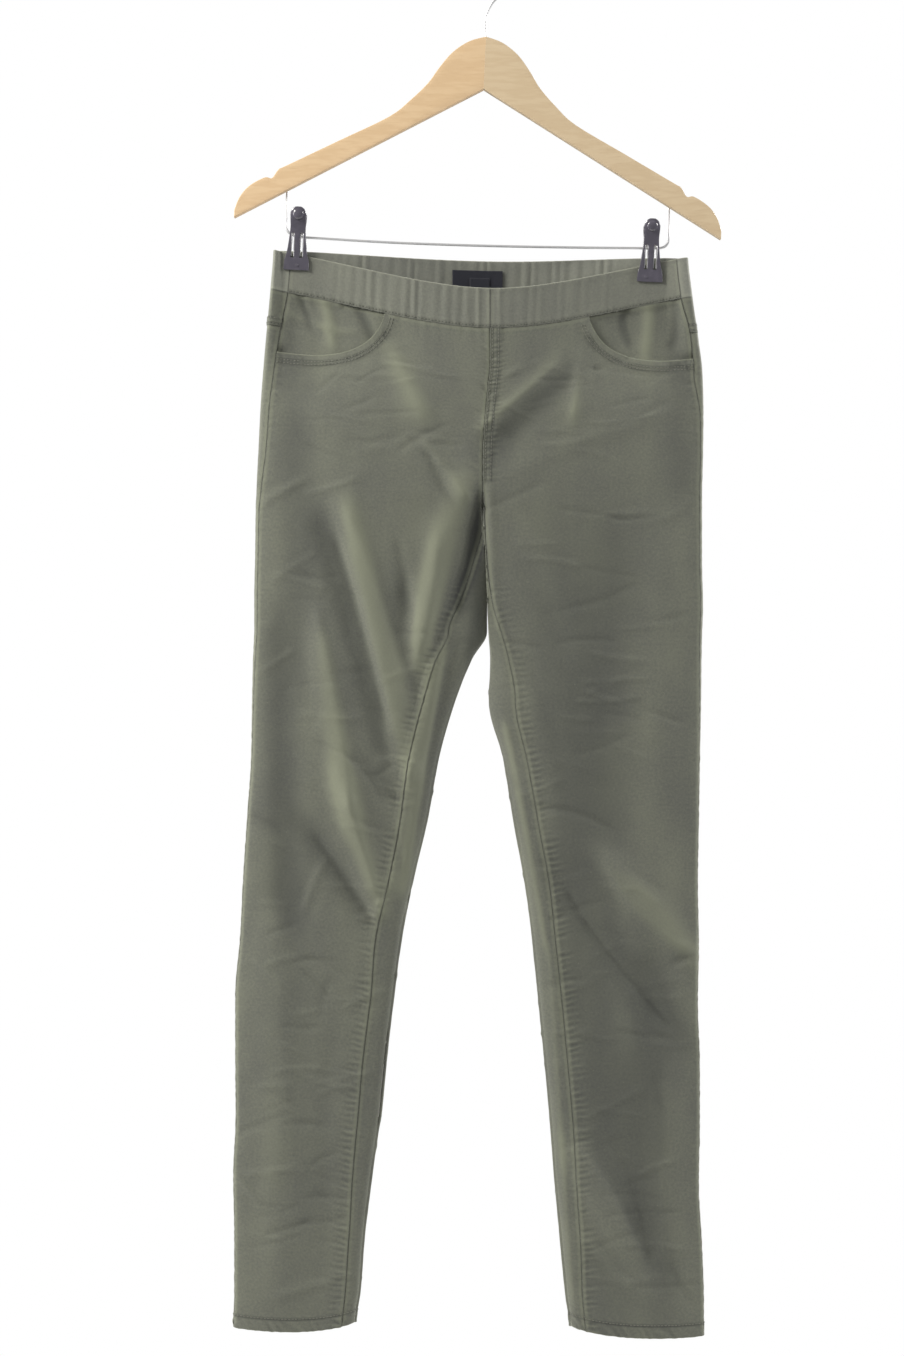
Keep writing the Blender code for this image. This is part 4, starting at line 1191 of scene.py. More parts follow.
@dataclass(frozen=True)
class Thread:
    """A sewing thread: the size and spacing of its stitches."""

    pitch: float = 3.1
    length: float = 2.6
    half_width: float = 0.3
    half_height: float = 0.26
    sink: float = 0.06
    shoulder: float = 0.3  # where it is thickest, from its middle, as a share of its length
    girth: float = 1.35  # makes up for its four-sided section

    def sew(self, name: str, routes: Sequence[tuple[Array, Array]],
            material: bpy.types.Material) -> bpy.types.Object:
        """Sews rows of stitches along routes.

        Args:
            name: The name of the piece that they make.
            routes: Points and normals of each row.
            material: The thread's finish.

        Returns:
            All the stitches as one piece.
        """
        points, faces = [], []
        for points_along, normals in routes:
            if len(points_along) < 2:
                continue
            runs = np.linalg.norm(np.diff(points_along, axis=0), axis=-1)
            reached = np.concatenate([[0.0], np.cumsum(runs)])
            count = int(reached[-1] / self.pitch)
            for number in range(count):
                middle = (number + 0.5) * reached[-1] / count
                ends = (middle - 0.5 * self.length, middle + 0.5 * self.length)
                here, start, end = (
                    np.array([np.interp(place, reached, points_along[:, axis]) for axis in range(3)])
                    for place in (middle, *ends)
                )
                normal = np.array([np.interp(middle, reached, normals[:, axis]) for axis in range(3)])
                faces.append(self._stitch(here, start, end, normal, 10 * len(faces), points))
        return mesh_piece(name, np.array(points) * MM, np.array(sum(faces, [])), material)

    def _stitch(self, here: Array, start: Array, end: Array, normal: Array, first: int,
                points: list[Array]) -> list[tuple[int, ...]]:
        """Adds one stitch's ten points and gives its faces, as triangles.

        Args:
            here: Its middle.
            start: Its first end.
            end: Its last end.
            normal: The cloth's normal there.
            first: The number of its first point.
            points: The points so far, which its own are added to.

        Returns:
            Its faces, as numbers of points.
        """
        along = (end - start) / max(1e-6, float(np.linalg.norm(end - start)))
        normal = normal - along * float(normal @ along)
        normal = normal / max(1e-6, float(np.linalg.norm(normal)))
        beside = np.cross(along, normal)
        points.append(start - normal * self.sink)
        for shift in (-self.shoulder, self.shoulder):
            middle = here + along * (shift * self.length) + normal * (0.6 * self.half_height - self.sink)
            for turn in range(4):
                angle = 0.5 * math.pi * turn + 0.25 * math.pi
                points.append(middle + beside * (self.half_width * math.cos(angle) * self.girth)
                              + normal * (self.half_height * math.sin(angle) * self.girth))
        points.append(end - normal * self.sink)
        result = []
        for turn in range(4):
            beyond = (turn + 1) % 4
            a, b, c, d = (first + 1 + turn, first + 1 + beyond, first + 5 + beyond, first + 5 + turn)
            result += [(first, b, a), (a, b, c), (a, c, d), (d, c, first + 9)]
        return result


# --- finishes ---------------------------------------------------------------------------------


def linear(colour: tuple[int, int, int]) -> tuple[float, float, float, float]:
    """Turns a display colour of 0 to 255 into a linear one."""
    channels = [channel / 255.0 for channel in colour]
    return (*(c / 12.92 if c <= 0.04045 else ((c + 0.055) / 1.055) ** 2.4 for c in channels), 1.0)


class Value:
    """A shader number. Arithmetic on it adds Math nodes."""

    def __init__(self, shader: "Shader", socket: bpy.types.NodeSocket) -> None:
        """Wraps an output socket."""
        self.shader = shader
        self.socket = socket

    def _math(self, operation: str, *values: "Value | float") -> "Value":
        """Adds one Math node."""
        inputs = dict(enumerate(values))
        return self.shader.node("ShaderNodeMath", {"operation": operation}, inputs)

    def __add__(self, other: "Value | float") -> "Value":
        """Adds."""
        return self._math("ADD", self, other)

    def __radd__(self, other: float) -> "Value":
        """Adds to a number."""
        return self._math("ADD", other, self)

    def __rsub__(self, other: float) -> "Value":
        """Subtracts from a number."""
        return self._math("SUBTRACT", other, self)

    def __mul__(self, other: "Value | float") -> "Value":
        """Multiplies."""
        return self._math("MULTIPLY", self, other)

    def wave(self) -> "Value":
        """Gives the sine, for an angle in radians."""
        return self._math("SINE", self)

    def ribs(self, pitch: float) -> "Value":
        """Gives even ribs from -1 to 1, a pitch apart."""
        return (self * (2.0 * math.pi / pitch)).wave()

    def step(self, low: float, high: float) -> "Value":
        """Gives a smooth step.

        Args:
            low: Where it is 0.
            high: Where it is 1.

        Returns:
            The step.
        """
        settings = {"interpolation_type": "SMOOTHSTEP"}
        inputs = {"Value": self, "From Min": low, "From Max": high}
        return self.shader.node("ShaderNodeMapRange", settings, inputs)


class Shader:
    """A material's nodes, around one Principled shader."""

    def __init__(self, name: str, constants: dict[str, float | tuple[float, ...]]) -> None:
        """Makes the material.

        Args:
            name: Its name.
            constants: What is the same all over, by the shader's own sockets.
        """
        self.material = bpy.data.materials.new(name)
        self.material.use_nodes = True
        self.tree = self.material.node_tree
        self.surface = self.tree.nodes["Principled BSDF"]
        for socket, value in constants.items():
            self.surface.inputs[socket].default_value = value

    def node(self, kind: str, settings: dict[str, object] | None = None,
             inputs: dict[str | int, object] | None = None, output: str | int = 0) -> Value:
        """Adds a node.

        Args:
            kind: Its type.
            settings: Its own settings, set first. A ramp's stops go under "stops".
            inputs: Values or links, by socket name, identifier or number.
            output: Which output is wanted.

        Returns:
            That output.
        """
        node = self.tree.nodes.new(kind)
        for name, value in (settings or {}).items():
            if name == "stops":
                elements = node.color_ramp.elements
                for index, (place, colour) in enumerate(value):
                    stop = elements[index] if index < len(elements) else elements.new(place)
                    stop.position = place
                    stop.color = colour
            else:
                setattr(node, name, value)
        for name, value in (inputs or {}).items():
            socket = self._socket(node.inputs, name)
            if isinstance(value, Value):
                self.tree.links.new(value.socket, socket)
            else:
                socket.default_value = value
        return Value(self, self._socket(node.outputs, output))

    @staticmethod
    def _socket(sockets: bpy.types.bpy_prop_collection, name: str | int) -> bpy.types.NodeSocket:
        """Finds a socket by its number, identifier or name.

        Args:
            sockets: The node's sockets.
            name: The number, identifier or name.

        Returns:
            The socket.
        """
        if isinstance(name, int):
            return sockets[name]
        for socket in sockets:
            if socket.identifier == name:
                return socket
        return sockets[name]

    def feed(self, socket: str, value: Value) -> None:
        """Links a value to the shader's own socket."""
        self.tree.links.new(value.socket, self.surface.inputs[socket])

    def blend(self, share: Value | float, first: Value | tuple[float, ...],
              second: Value | tuple[float, ...]) -> Value:
        """Mixes two colours.

        Args:
            share: How much of the second.
            first: The first colour.
            second: The second colour.

        Returns:
            The mixed colour.
        """
        inputs = {"Factor_Float": share, "A_Color": first, "B_Color": second}
        return self.node("ShaderNodeMix", {"data_type": "RGBA"}, inputs, "Result_Color")

    def place(self, scale: tuple[float, float, float] = (1.0, 1.0, 1.0), turn: float = 0.0) -> Value:
        """Gives the object's own place, scaled and turned about Y."""
        here = self.node("ShaderNodeTexCoord", output="Object")
        return self.mapped(here, scale, turn)

    def mapped(self, where: Value, scale: tuple[float, float, float], turn: float = 0.0) -> Value:
        """Gives a place scaled and turned about Y."""
        inputs = {"Vector": where, "Scale": scale, "Rotation": (0.0, turn, 0.0)}
        return self.node("ShaderNodeMapping", None, inputs)

    def parts(self, where: Value, *axes: str) -> list[Value]:
        """Gives a place's numbers along some axes."""
        split = self.node("ShaderNodeSeparateXYZ", None, {"Vector": where})
        return [Value(self, split.socket.node.outputs[axis]) for axis in axes]

    def noise(self, where: Value, scale: float, detail: float = 2.0, rough: float = 0.5) -> Value:
        """Gives soft noise from 0 to 1."""
        inputs = {"Vector": where, "Scale": scale, "Detail": detail, "Roughness": rough}
        return self.node("ShaderNodeTexNoise", {"noise_dimensions": "3D"}, inputs)

    def attribute(self, name: str) -> Value:
        """Gives a mesh attribute's number."""
        return self.node("ShaderNodeAttribute", {"attribute_name": name}, None, "Fac")

    def bump(self, height: Value, distance: float, strength: float = 1.0) -> None:
        """Gives the surface small relief."""
        inputs = {"Height": height, "Distance": distance, "Strength": strength}
        self.feed("Normal", self.node("ShaderNodeBump", None, inputs, "Normal"))


@dataclass(frozen=True)
class TwillFinish:
    """Brushed stretch twill: diagonal ribs, a soft nap, painted light on ridges, painted shade in grooves."""

    name: str
    colour: tuple[int, int, int]
    # pale is also the painted light, and shade the painted shade
    pale: tuple[int, int, int]
    deep: tuple[int, int, int]
    shade: tuple[int, int, int]
    rib_pitch: float = 0.9 * MM
    thread_pitch: float = 0.45 * MM
    rung_pitch: float = 5.9 * MM
    sheen: float = 1.0
    sheen_tint: tuple[int, int, int] = (226, 227, 218)
    # How much each pattern counts in the cloth's tone.
    nap_tone: float = 0.36
    fleck_tone: float = 0.2
    patch_tone: float = 0.22
    streak_tone: float = 0.22
    rib_tone: float = 0.03

    def make(self) -> bpy.types.Material:
        """Makes the material.

        Returns:
            The material.
        """
        constants = {"Roughness": 0.92, "Sheen Weight": self.sheen, "Sheen Roughness": 0.4,
                     "Sheen Tint": linear(self.sheen_tint), "Specular IOR Level": 0.15}
        shader = Shader(self.name, constants)
        cloth = shader.node("ShaderNodeUVMap", {"uv_map": "cloth"})
        across, down = shader.parts(cloth, "X", "Y")
        waver = shader.noise(cloth, 260.0, 1.0) * (0.5 * MM)
        rib = (across * 0.94 + down * 0.62 + waver).ribs(self.rib_pitch)
        thread = (across + waver).ribs(self.thread_pitch)
        nap = shader.noise(cloth, 420.0, 3.0, 0.62)
        fleck = shader.noise(cloth, 1500.0, 2.0, 0.6)
        patch = shader.noise(cloth, 16.0, 3.0, 0.55)
        streak = shader.noise(shader.mapped(cloth, (26.0, 7.0, 1.0)), 1.0, 2.0, 0.5)
        tone = nap * self.nap_tone + fleck * self.fleck_tone + patch * self.patch_tone
        tone = tone + streak * self.streak_tone + rib * self.rib_tone
        ground = shader.blend(tone.step(0.26, 0.74), linear(self.deep), linear(self.pale))
        ground = shader.blend(0.45, ground, linear(self.colour))
        rung = self._rungs(shader, cloth, across, down)
        shader.feed("Base Color", self._painted_light_and_wear(shader, cloth, ground, rung))
        shader.feed("Roughness", 0.86 + nap * 0.1)
        shader.bump(rib * 0.35 + thread * 0.15 + nap * 0.9 + fleck * 0.5 + rung * 1.2, 0.16 * MM, 0.8)
        return shader.material

    def _rungs(self, shader: Shader, cloth: Value, across: Value, down: Value) -> Value:
        """Gives the fine uneven puckers across an upright seam, from -1 to 1.

        Args:
            shader: The cloth's nodes.
            cloth: The place on the cloth.
            across: The place across the cloth.
            down: The place down the cloth.

        Returns:
            The puckers.
        """
        uneven = shader.noise(cloth, 55.0, 1.0)
        wave = (down + across * 0.22 + uneven * (5.0 * MM)).ribs(self.rung_pitch)
        return wave * shader.attribute("ladder") * uneven.step(0.22, 0.6)

    def _painted_light_and_wear(self, shader: Shader, cloth: Value, ground: Value, rung: Value) -> Value:
        """Paints light, shade and some wear into the cloth's colour: lighter where it stands proud, darker
        where drawn in.

        Args:
            shader: The cloth's nodes.
            cloth: The place on the cloth.
            ground: The colour so far.
            rung: The fine puckers.

        Returns:
            The worn colour.
        """
        relief, seam, lip = (shader.attribute(name) for name in ("relief", "seam", "lip"))
        lint = shader.noise(cloth, 700.0, 0.0).step(0.78, 0.86)
        pale, shade = linear(self.pale), linear(self.shade)
        marks = (
            # painted light on ridges, partly pale wear; painted shade in troughs, and a deeper painted shadow
            # in the deepest
            (relief.step(0.0, 1.7) * 0.6, pale),
            ((0.0 - relief).step(0.0, 1.5) * 0.42, shade),
            ((0.0 - relief).step(1.6, 4.6) * 0.75, shade),
            # painted light on the crests of the fine puckers and painted shade in their troughs
            (rung.step(0.0, 1.0) * 0.3, pale),
            ((0.0 - rung).step(0.0, 1.0) * 0.3, shade),
            # paler beside each seam, pale wear and painted highlight on its raised strip; painted shade along
            # the seam line
            ((1.0 - seam.step(2.2, 4.6)) * 0.3, pale),
            ((1.0 - seam.step(0.2, 1.1)) * 0.5, shade),
            # painted shade along the rows of stitches
            (shader.attribute("marks") * 0.8, shade),
            # a pale line along free edges: pale wear and painted highlight
            ((1.0 - lip.step(0.4, 1.3)) * 0.45, pale),
            (lint * 0.35, pale),
        )
        for share, colour in marks:
            ground = shader.blend(share, ground, colour)
        return ground


@dataclass(frozen=True)
class ThreadFinish:
    """Sewing thread in the cloth's own colour."""

    name: str
    colour: tuple[int, int, int]
    shade: tuple[int, int, int]

    def make(self) -> bpy.types.Material:
        """Makes the material.

        Returns:
            The material.
        """
        shader = Shader(self.name, {"Roughness": 0.7, "Sheen Weight": 0.1, "Specular IOR Level": 0.3})
        here = shader.place()
        uneven = shader.noise(here, 900.0, 1.0)
        shader.feed("Base Color", shader.blend(uneven, linear(self.shade), linear(self.colour)))
        shader.feed("Roughness", 0.6 + uneven * 0.2)
        shader.bump(shader.noise(here, 4000.0, 1.0), 0.05 * MM)
        return shader.material


@dataclass(frozen=True)
class WovenLabelFinish:
    """A satin label: a fine close weave with a little shine."""

    name: str
    colour: tuple[int, int, int]
    pale: tuple[int, int, int]
    weft_pitch: float = 0.35 * MM
    warp_pitch: float = 0.5 * MM

    def make(self) -> bpy.types.Material:
        """Makes the material.

        Returns:
            The material.
        """
        shader = Shader(self.name, {"Roughness": 0.55, "Sheen Weight": 0.15, "Specular IOR Level": 0.35})
        here = shader.place()
        x, z = shader.parts(here, "X", "Z")
        weft = z.ribs(self.weft_pitch)
        warp = x.ribs(self.warp_pitch)
        uneven = shader.noise(here, 700.0, 2.0)
        tone = uneven * 0.5 + warp * 0.06
        shader.feed("Base Color", shader.blend(tone, linear(self.colour), linear(self.pale)))
        shader.feed("Roughness", 0.48 + uneven * 0.16)
        shader.bump(weft * 0.5 + warp * 0.3, 0.05 * MM, 0.7)
        return shader.material


@dataclass(frozen=True)
class WoodFinish:
    """Pale lacquered wood with its grain running along the arm."""

    name: str
    pale: tuple[int, int, int]
    middle: tuple[int, int, int]
    dark: tuple[int, int, int]
    grain_turn: float

    def make(self) -> bpy.types.Material:
        """Makes the material.

        Returns:
            The material.
        """
        shader = Shader(self.name, {"Roughness": 0.45, "Coat Weight": 0.25, "Coat Roughness": 0.25})
        along = shader.place((9.0, 60.0, 60.0), self.grain_turn)
        broad = shader.noise(along, 1.6, 3.0, 0.6)
        fine = shader.noise(shader.place((28.0, 900.0, 900.0), self.grain_turn), 1.0, 3.0, 0.65)
        pore = shader.noise(shader.place((70.0, 1600.0, 1600.0), self.grain_turn), 1.0, 1.0)
        rings = ((broad * 26.0).wave() + 1.0) * 0.5
        ground = shader.blend(rings * 0.55 + fine * 0.35, linear(self.pale), linear(self.middle))
        ground = shader.blend(pore.step(0.62, 0.8) * 0.35, ground, linear(self.dark))
        shader.feed("Base Color", ground)
        shader.feed("Roughness", 0.38 + fine * 0.2)
        shader.bump(fine + pore * 0.6, 0.06 * MM, 0.5)
        return shader.material


@dataclass(frozen=True)
class WireFinish:
    """Bright steel wire with faint drawing marks."""

    name: str
    colour: tuple[int, int, int]
    dull: tuple[int, int, int]

    def make(self) -> bpy.types.Material:
        """Makes the material.

        Returns:
            The material.
        """
        shader = Shader(self.name, {"Metallic": 0.8, "Roughness": 0.4})
        here = shader.place()
        cloud = shader.noise(here, 120.0, 3.0)
        marks = shader.noise(shader.place((300.0, 2500.0, 2500.0)), 1.0, 2.0)
        shader.feed("Base Color", shader.blend(cloud, linear(self.colour), linear(self.dull)))
        shader.feed("Roughness", 0.34 + cloud * 0.16 + marks * 0.1)
        shader.bump(marks, 0.02 * MM, 0.4)
        return shader.material


@dataclass(frozen=True)
class MouldedFinish:
    """Dark moulded plastic, glossy, with a faint moulded grain and handling marks."""

    name: str
    colour: tuple[int, int, int]
    worn: tuple[int, int, int]

    def make(self) -> bpy.types.Material:
        """Makes the material.

        Returns:
            The material.
        """
        shader = Shader(self.name, {"Roughness": 0.25, "Coat Weight": 0.7, "Coat Roughness": 0.06})
        here = shader.place()
        cloud = shader.noise(here, 160.0, 3.0)
        grain = shader.noise(here, 2600.0, 1.0)
        marks = shader.noise(here, 520.0, 2.0, 0.7)
        tone = cloud.step(0.4, 0.8) * 0.5
        shader.feed("Base Color", shader.blend(tone, linear(self.colour), linear(self.worn)))
        shader.feed("Roughness", 0.16 + marks * 0.16)
        shader.bump(grain * 0.5 + marks * 0.5, 0.05 * MM, 0.5)
        return shader.material


@dataclass(frozen=True)
class PaintedFinish:
    """Plain matt paint on the studio's floor, which thins out toward its rim."""

    name: str
    colour: tuple[int, int, int]
    reach: tuple[float, float] = (0.9, 2.1)  # radii between which it fades away

    def make(self) -> bpy.types.Material:
        """Makes the material.

        Returns:
            The material.
        """
        shader = Shader(self.name, {"Roughness": 0.95, "Specular IOR Level": 0.1})
        cloud = shader.noise(shader.place(), 0.7, 2.0)
        shade = tuple(channel - 2 for channel in self.colour)
        shader.feed("Base Color", shader.blend(cloud, linear(self.colour), linear(shade)))
        here = shader.node("ShaderNodeTexCoord", output="Object")
        flat = shader.node("ShaderNodeVectorMath", {"operation": "MULTIPLY"}, {0: here, 1: (1.0, 1.0, 0.0)})
        far = shader.node("ShaderNodeVectorMath", {"operation": "LENGTH"}, {0: flat}, "Value")
        shader.feed("Alpha", 1.0 - far.step(*self.reach))
        return shader.material


@dataclass
class Finishes:
    """Every finish, made once."""

    grain_slope: float = math.radians(29.8)
    twill: bpy.types.Material = field(init=False)
    band: bpy.types.Material = field(init=False)
    lit_back_band: bpy.types.Material = field(init=False)
    thread: bpy.types.Material = field(init=False)
    label: bpy.types.Material = field(init=False)
    wood: dict[Side, bpy.types.Material] = field(init=False)
    wire: bpy.types.Material = field(init=False)
    moulded: bpy.types.Material = field(init=False)
    floor: bpy.types.Material = field(init=False)

    def __post_init__(self) -> None:
        """Makes the materials."""
        self.twill = TwillFinish(
            "olive_twill_cloth",
            colour=(101, 102, 96), pale=(132, 135, 116), deep=(80, 81, 81), shade=(58, 59, 60),
        ).make()
        # The back band is the twill painted lighter, painted light where its inside lies in shade.
        self.lit_back_band = TwillFinish(
            "olive_back_band_cloth",
            colour=(128, 129, 122), pale=(150, 152, 138), deep=(106, 107, 104), shade=(76, 77, 76),
        ).make()
        # The front band is the twill painted lighter, painted light for the light that falls on its top.
        self.band = TwillFinish(
            "olive_band_cloth",
            colour=(112, 113, 106), pale=(138, 140, 125), deep=(89, 90, 88), shade=(66, 67, 67),
        ).make()
        self.thread = ThreadFinish("olive_thread", (122, 123, 111), (98, 99, 91)).make()
        self.label = WovenLabelFinish("navy_label_satin", (27, 28, 38), (44, 46, 58)).make()
        slope = self.grain_slope
        # The right arm's wood is painted lighter and warmer than the left's: painted light on the side the
        # light comes from.
        lit_wood_tones = ((219, 190, 152), (207, 176, 137), (177, 144, 107))
        dull = ((209, 188, 156), (198, 175, 142), (172, 146, 114))
        self.wood = {
            Side.RIGHT: WoodFinish("pale_wood_right", *lit_wood_tones, slope - Hanger.tilt).make(),
            Side.LEFT: WoodFinish("pale_wood_left", *dull, -slope - Hanger.tilt).make(),
        }
        self.wire = WireFinish("steel_wire", (230, 230, 231), (202, 202, 206)).make()
        self.moulded = MouldedFinish("dark_clip_plastic", (76, 73, 84), (98, 94, 106)).make()
        self.floor = PaintedFinish("pale_floor", (236, 236, 235)).make()


# --- the jeans --------------------------------------------------------------------------------


@dataclass(frozen=True)
class Label:
    """A bare cloth label that hangs on the inner face of the back waistband."""

    node: str
    middle: float
    width: float
    top: float  # how far below the band's top it starts
    height: float
    inset: float  # how far inside the garment's surface it lies


@dataclass
class Jeans:
    """The garment: its sizes, and how each piece is cut, sewn and laid on the surface."""

    finishes: Finishes
    wall: float = 1.2
    band_wall: float = 1.7
    hem_wall: float = 2.2
    facing_wall: float = 1.0
    pocket_wall: float = 1.4
    label_wall: float = 0.6
    hem_depth: float = 13.0
    seam_gap: float = 0.03  # from a piece's edge to the middle of its seam
    mouth_depth: float = 55.6
    mouth_share: float = 0.495
    mouth_lines: tuple[float, float] = (6.2, 9.0)
    facing_gap: float = 0.3
    facing_lap: float = 14.0
    facing_clear: float = 0.7
    facing_reach: float = 1.1  # its width as a share of the mouth's
    yoke_side: float = 32.0
    yoke_centre: float = 62.0
    pocket_top: float = 402.0
    pocket_side: float = 108.0
    pocket_point: float = 124.0
    pocket_width: float = 118.0
    pocket_narrow: float = 0.03  # how far each side runs in toward the foot, as a turn
    pocket_turns: tuple[float, float] = (2.27, 2.63)
    ripple_pitch: float = 9.6
    ripple_height: float = 0.38
    gather_height: float = 0.55
    front_gathers: tuple[float, float] = (-140.0, 120.0)
    back_gathers: tuple[float, float] = (-150.0, 130.0)
    tuck_height: float = 1.6  # the small fold pressed in at the mouth's upper end
    tuck_depth: float = 17.0
    neck_label: Label = Label("neck_label", middle=-7.7, width=46.0, top=9.0, height=24.0, inset=2.8)
    size_tab: Label = Label("size_tab", middle=-5.7, width=18.0, top=16.0, height=24.0, inset=3.7)
    thread: Thread = Thread()
    row_pitch: float = 2.1
    coarse: Spacing = Spacing()
    fine: Spacing = Spacing(pitch=2.4)
    ripples: Spacing = Spacing(near=(0.0, 0.3, 0.8, 1.6, 2.8), pitch=0.95)
    band_rows: Spacing = Spacing(near=(0.0, 0.3, 0.8, 1.6, 2.8, 4.4), pitch=2.6)
    label_rows: Spacing = Spacing(near=(0.0, 0.3, 0.8, 1.6), pitch=1.2)
    hem_finish: EdgeFinish = EdgeFinish(
        Edge.BOTTOM, raised=0.35, width=12.2, pucker=0.34, pitch=8.6, reach=5.0, slant=0.8, lines=(12.0,))
    # Ridges pressed into the front band beside its middle seam: x, half width, height.
    BAND_RIDGES = ((-7.3, 1.7, 0.7), (11.8, 1.7, 0.6), (2.7, 2.2, 0.5))
    # Where each piece is held, by the first part of its name.
    HELD_BY = {
        "front_panel": "waistband_front_{side}_cloth",
        "back_panel": "back_yoke_{side}_cloth",
        "back_yoke": "waistband_back_cloth",
        "pocket_facing": "waistband_front_{side}_cloth",
        "back_pocket": "back_panel_{side}_cloth",
        "waistband_front": "clip_{side}_front_lever_moulded",
        "waistband_back": "clip_right_back_lever_moulded",
        "neck_label": "waistband_back_cloth",
        "size_tab": "neck_label_cloth",
    }

    def dress(self) -> None:
        """Builds every cloth piece and sews it."""
        for side in Side:
            self._sewn(self.front_panel(side), "front_panel", side, self._mouth_stitches)
            self._sewn(self.back_panel(side), "back_panel", side)
            self._sewn(self.back_yoke(side), "back_yoke", side)
            self._sewn(self.pocket_facing(side), "pocket_facing", side)
            self._sewn(self.back_pocket(side), "back_pocket", side)
            self._sewn(self.waistband_front(side), "waistband_front", side)
        self._sewn(self.waistband_back(), "waistband_back", None)
        for label in (self.neck_label, self.size_tab):
            piece = self.hung_label(label)
            self._declare(piece, piece.build(self.finishes.label), label.node)

    def _sewn(self, piece: ClothPiece, part: str, side: Side | None,
              more: Callable[[ClothPiece], list[tuple[Array, Array]]] | None = None) -> None:
        """Args:
            piece: The piece.
            part: The first part of its node's name.
            side: Its half, or none if it spans both.
            more: What gives further rows of stitches, if it has them.
        """
        node = part if side is None else f"{part}_{side.value}"
        banded = part.startswith("waistband")
        material = self.finishes.band if banded else self.finishes.twill
        cloth = piece.build(self.finishes.lit_back_band if part == "waistband_back" else material)
        routes = [piece.line(finish, offset) for finish in piece.finishes for offset in finish.lines]
        if more is not None:
            routes += more(piece)
        stitches = []
        if routes:
            stitches.append(self.thread.sew(f"{node}_stitches", routes, self.finishes.thread))
            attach(stitches[0], BODY)
        self._declare(piece, cloth, node)

    def _declare(self, piece: ClothPiece, cloth: bpy.types.Object, node: str) -> None:
        """Attaches a finished shell to the body, hides the part it stands for and logs its flat cut's size.

        Args:
            piece: The piece.
            cloth: Its shell.
            node: Its node.
        """
        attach(cloth, BODY)
        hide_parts(node)
        width, length, area = piece.flat()
        LOG.info("%s: %.0f x %.0f mm, %d faces", node, width / MM, length / MM, len(cloth.data.polygons))

    # --- shared shapes ---

    def _levels(self) -> Array:
        """Gives the rows of a leg panel: close at both edges and round the crotch's curve.

        Returns:
            The levels.
        """
        near = np.array(self.coarse.near)
        pitch = self.row_pitch
        top, fork, hem = SURFACE.waist_seam, SURFACE.fork, SURFACE.hem
        curve_top = fork - SURFACE.crotch_rise
        upper = np.linspace(top + near[-1], curve_top, 1 + round((curve_top - top - near[-1]) / pitch))
        curve = fork - SURFACE.crotch_rise * (1.0 - np.cos(np.linspace(0.5 * math.pi, 0.0, 16)))
        lower = np.linspace(fork, hem - near[-1], 1 + round((hem - near[-1] - fork) / pitch))
        return np.concatenate([top + near, upper[1:], curve[1:], lower[1:], hem - near[::-1][1:]])

    @staticmethod
    def _front_side(side: Side, level: Array, gap: float) -> Array:
        """Gives the first turn of a front piece's rows, a gap in from the side seam."""
        start = SURFACE.side_seam(side, level)
        return start + seam_step(side, start, level, gap)

    def _back_side(self, side: Side, level: Array) -> Array:
        """Gives the last turn of a back piece's rows, just short of the side seam."""
        end = 3.0 + SURFACE.side_seam(side, level)
        return end - seam_step(side, end, level, self.seam_gap)

    def _leg_wall(self, level: Array) -> Array:
        """Gives the cloth's thickness, doubled where the hem is turned up."""
        return self.wall + (self.hem_wall - self.wall) * smooth((level - SURFACE.hem + self.hem_depth) / 1.2)

    def _mouth_drop(self, share: Array) -> Array:
        """Gives how far the scoop pocket's mouth lies below the waist seam at a share of its width."""
        return self.mouth_depth * np.clip(1.0 - np.clip(share, 0.0, 1.0) ** 3, 0.0, 1.0) ** 0.625

    def _yoke_drop(self, turn: Array) -> Array:
        """Gives how far the yoke's lower seam lies below the waist seam."""
        return self.yoke_side + (self.yoke_centre - self.yoke_side) * np.clip(3.0 - turn, 0.0, 1.0)

    @staticmethod
    def _crotch_turn(level: Array) -> Array:
        """Gives the back seam's turn: on the middle line above, round under the crotch to the fork."""
        height = np.clip((SURFACE.fork - level) / SURFACE.crotch_rise, 0.0, 1.0)
        return 1.0 + np.sqrt(np.clip(2.0 * height - height**2, 0.0, 1.0))

    def _gathered(self, piece: ClothPiece, gathers: tuple[float, float]) -> Array:
        """Gives the gathers that the elastic waistband draws into the cloth under it.

        Args:
            piece: The piece.
            gathers: The x where the gathers start and stop.

        Returns:
            Heights in millimetres.
        """
        x = piece.outer[..., 0]
        away = piece.cut.level - SURFACE.waist_seam
        mask = smooth((x - gathers[0]) / 30.0) * smooth((gathers[1] - x) / 30.0)
        phase = 2.0 * math.pi * (x + 2.4 * wander(x, 4.0, 60.0)) / self.ripple_pitch
        uneven = 0.6 + 0.5 * wander(x, 7.0, 33.0)
        reach = 13.0 + 8.0 * wander(x, 9.0, 27.0)
        return self.gather_height * mask * uneven * np.sin(phase) * np.exp(-away / reach)

    # --- the pieces ---

    def front_panel(self, side: Side) -> ClothPiece:
        """Cuts a front leg panel, from the waist seam and pocket mouth to the hem.

        Args:
            side: The half of the garment.

        Returns:
            The piece.
        """
        level = self._levels()
        fade = SURFACE.waist_fade(level)
        side_level = level + fade * self.mouth_depth
        start = self._front_side(side, side_level, self.seam_gap)
        end = np.where(level >= SURFACE.fork, SURFACE.inseam(side, level), 1.0)
        end = end - seam_step(side, end - 0.02, level, self.seam_gap)

        def drop(share: Array) -> Array:
            """Gives how far each row falls below its level, in step with the pocket's mouth."""
            return fade[:, None] * self._mouth_drop(share / self.mouth_share)

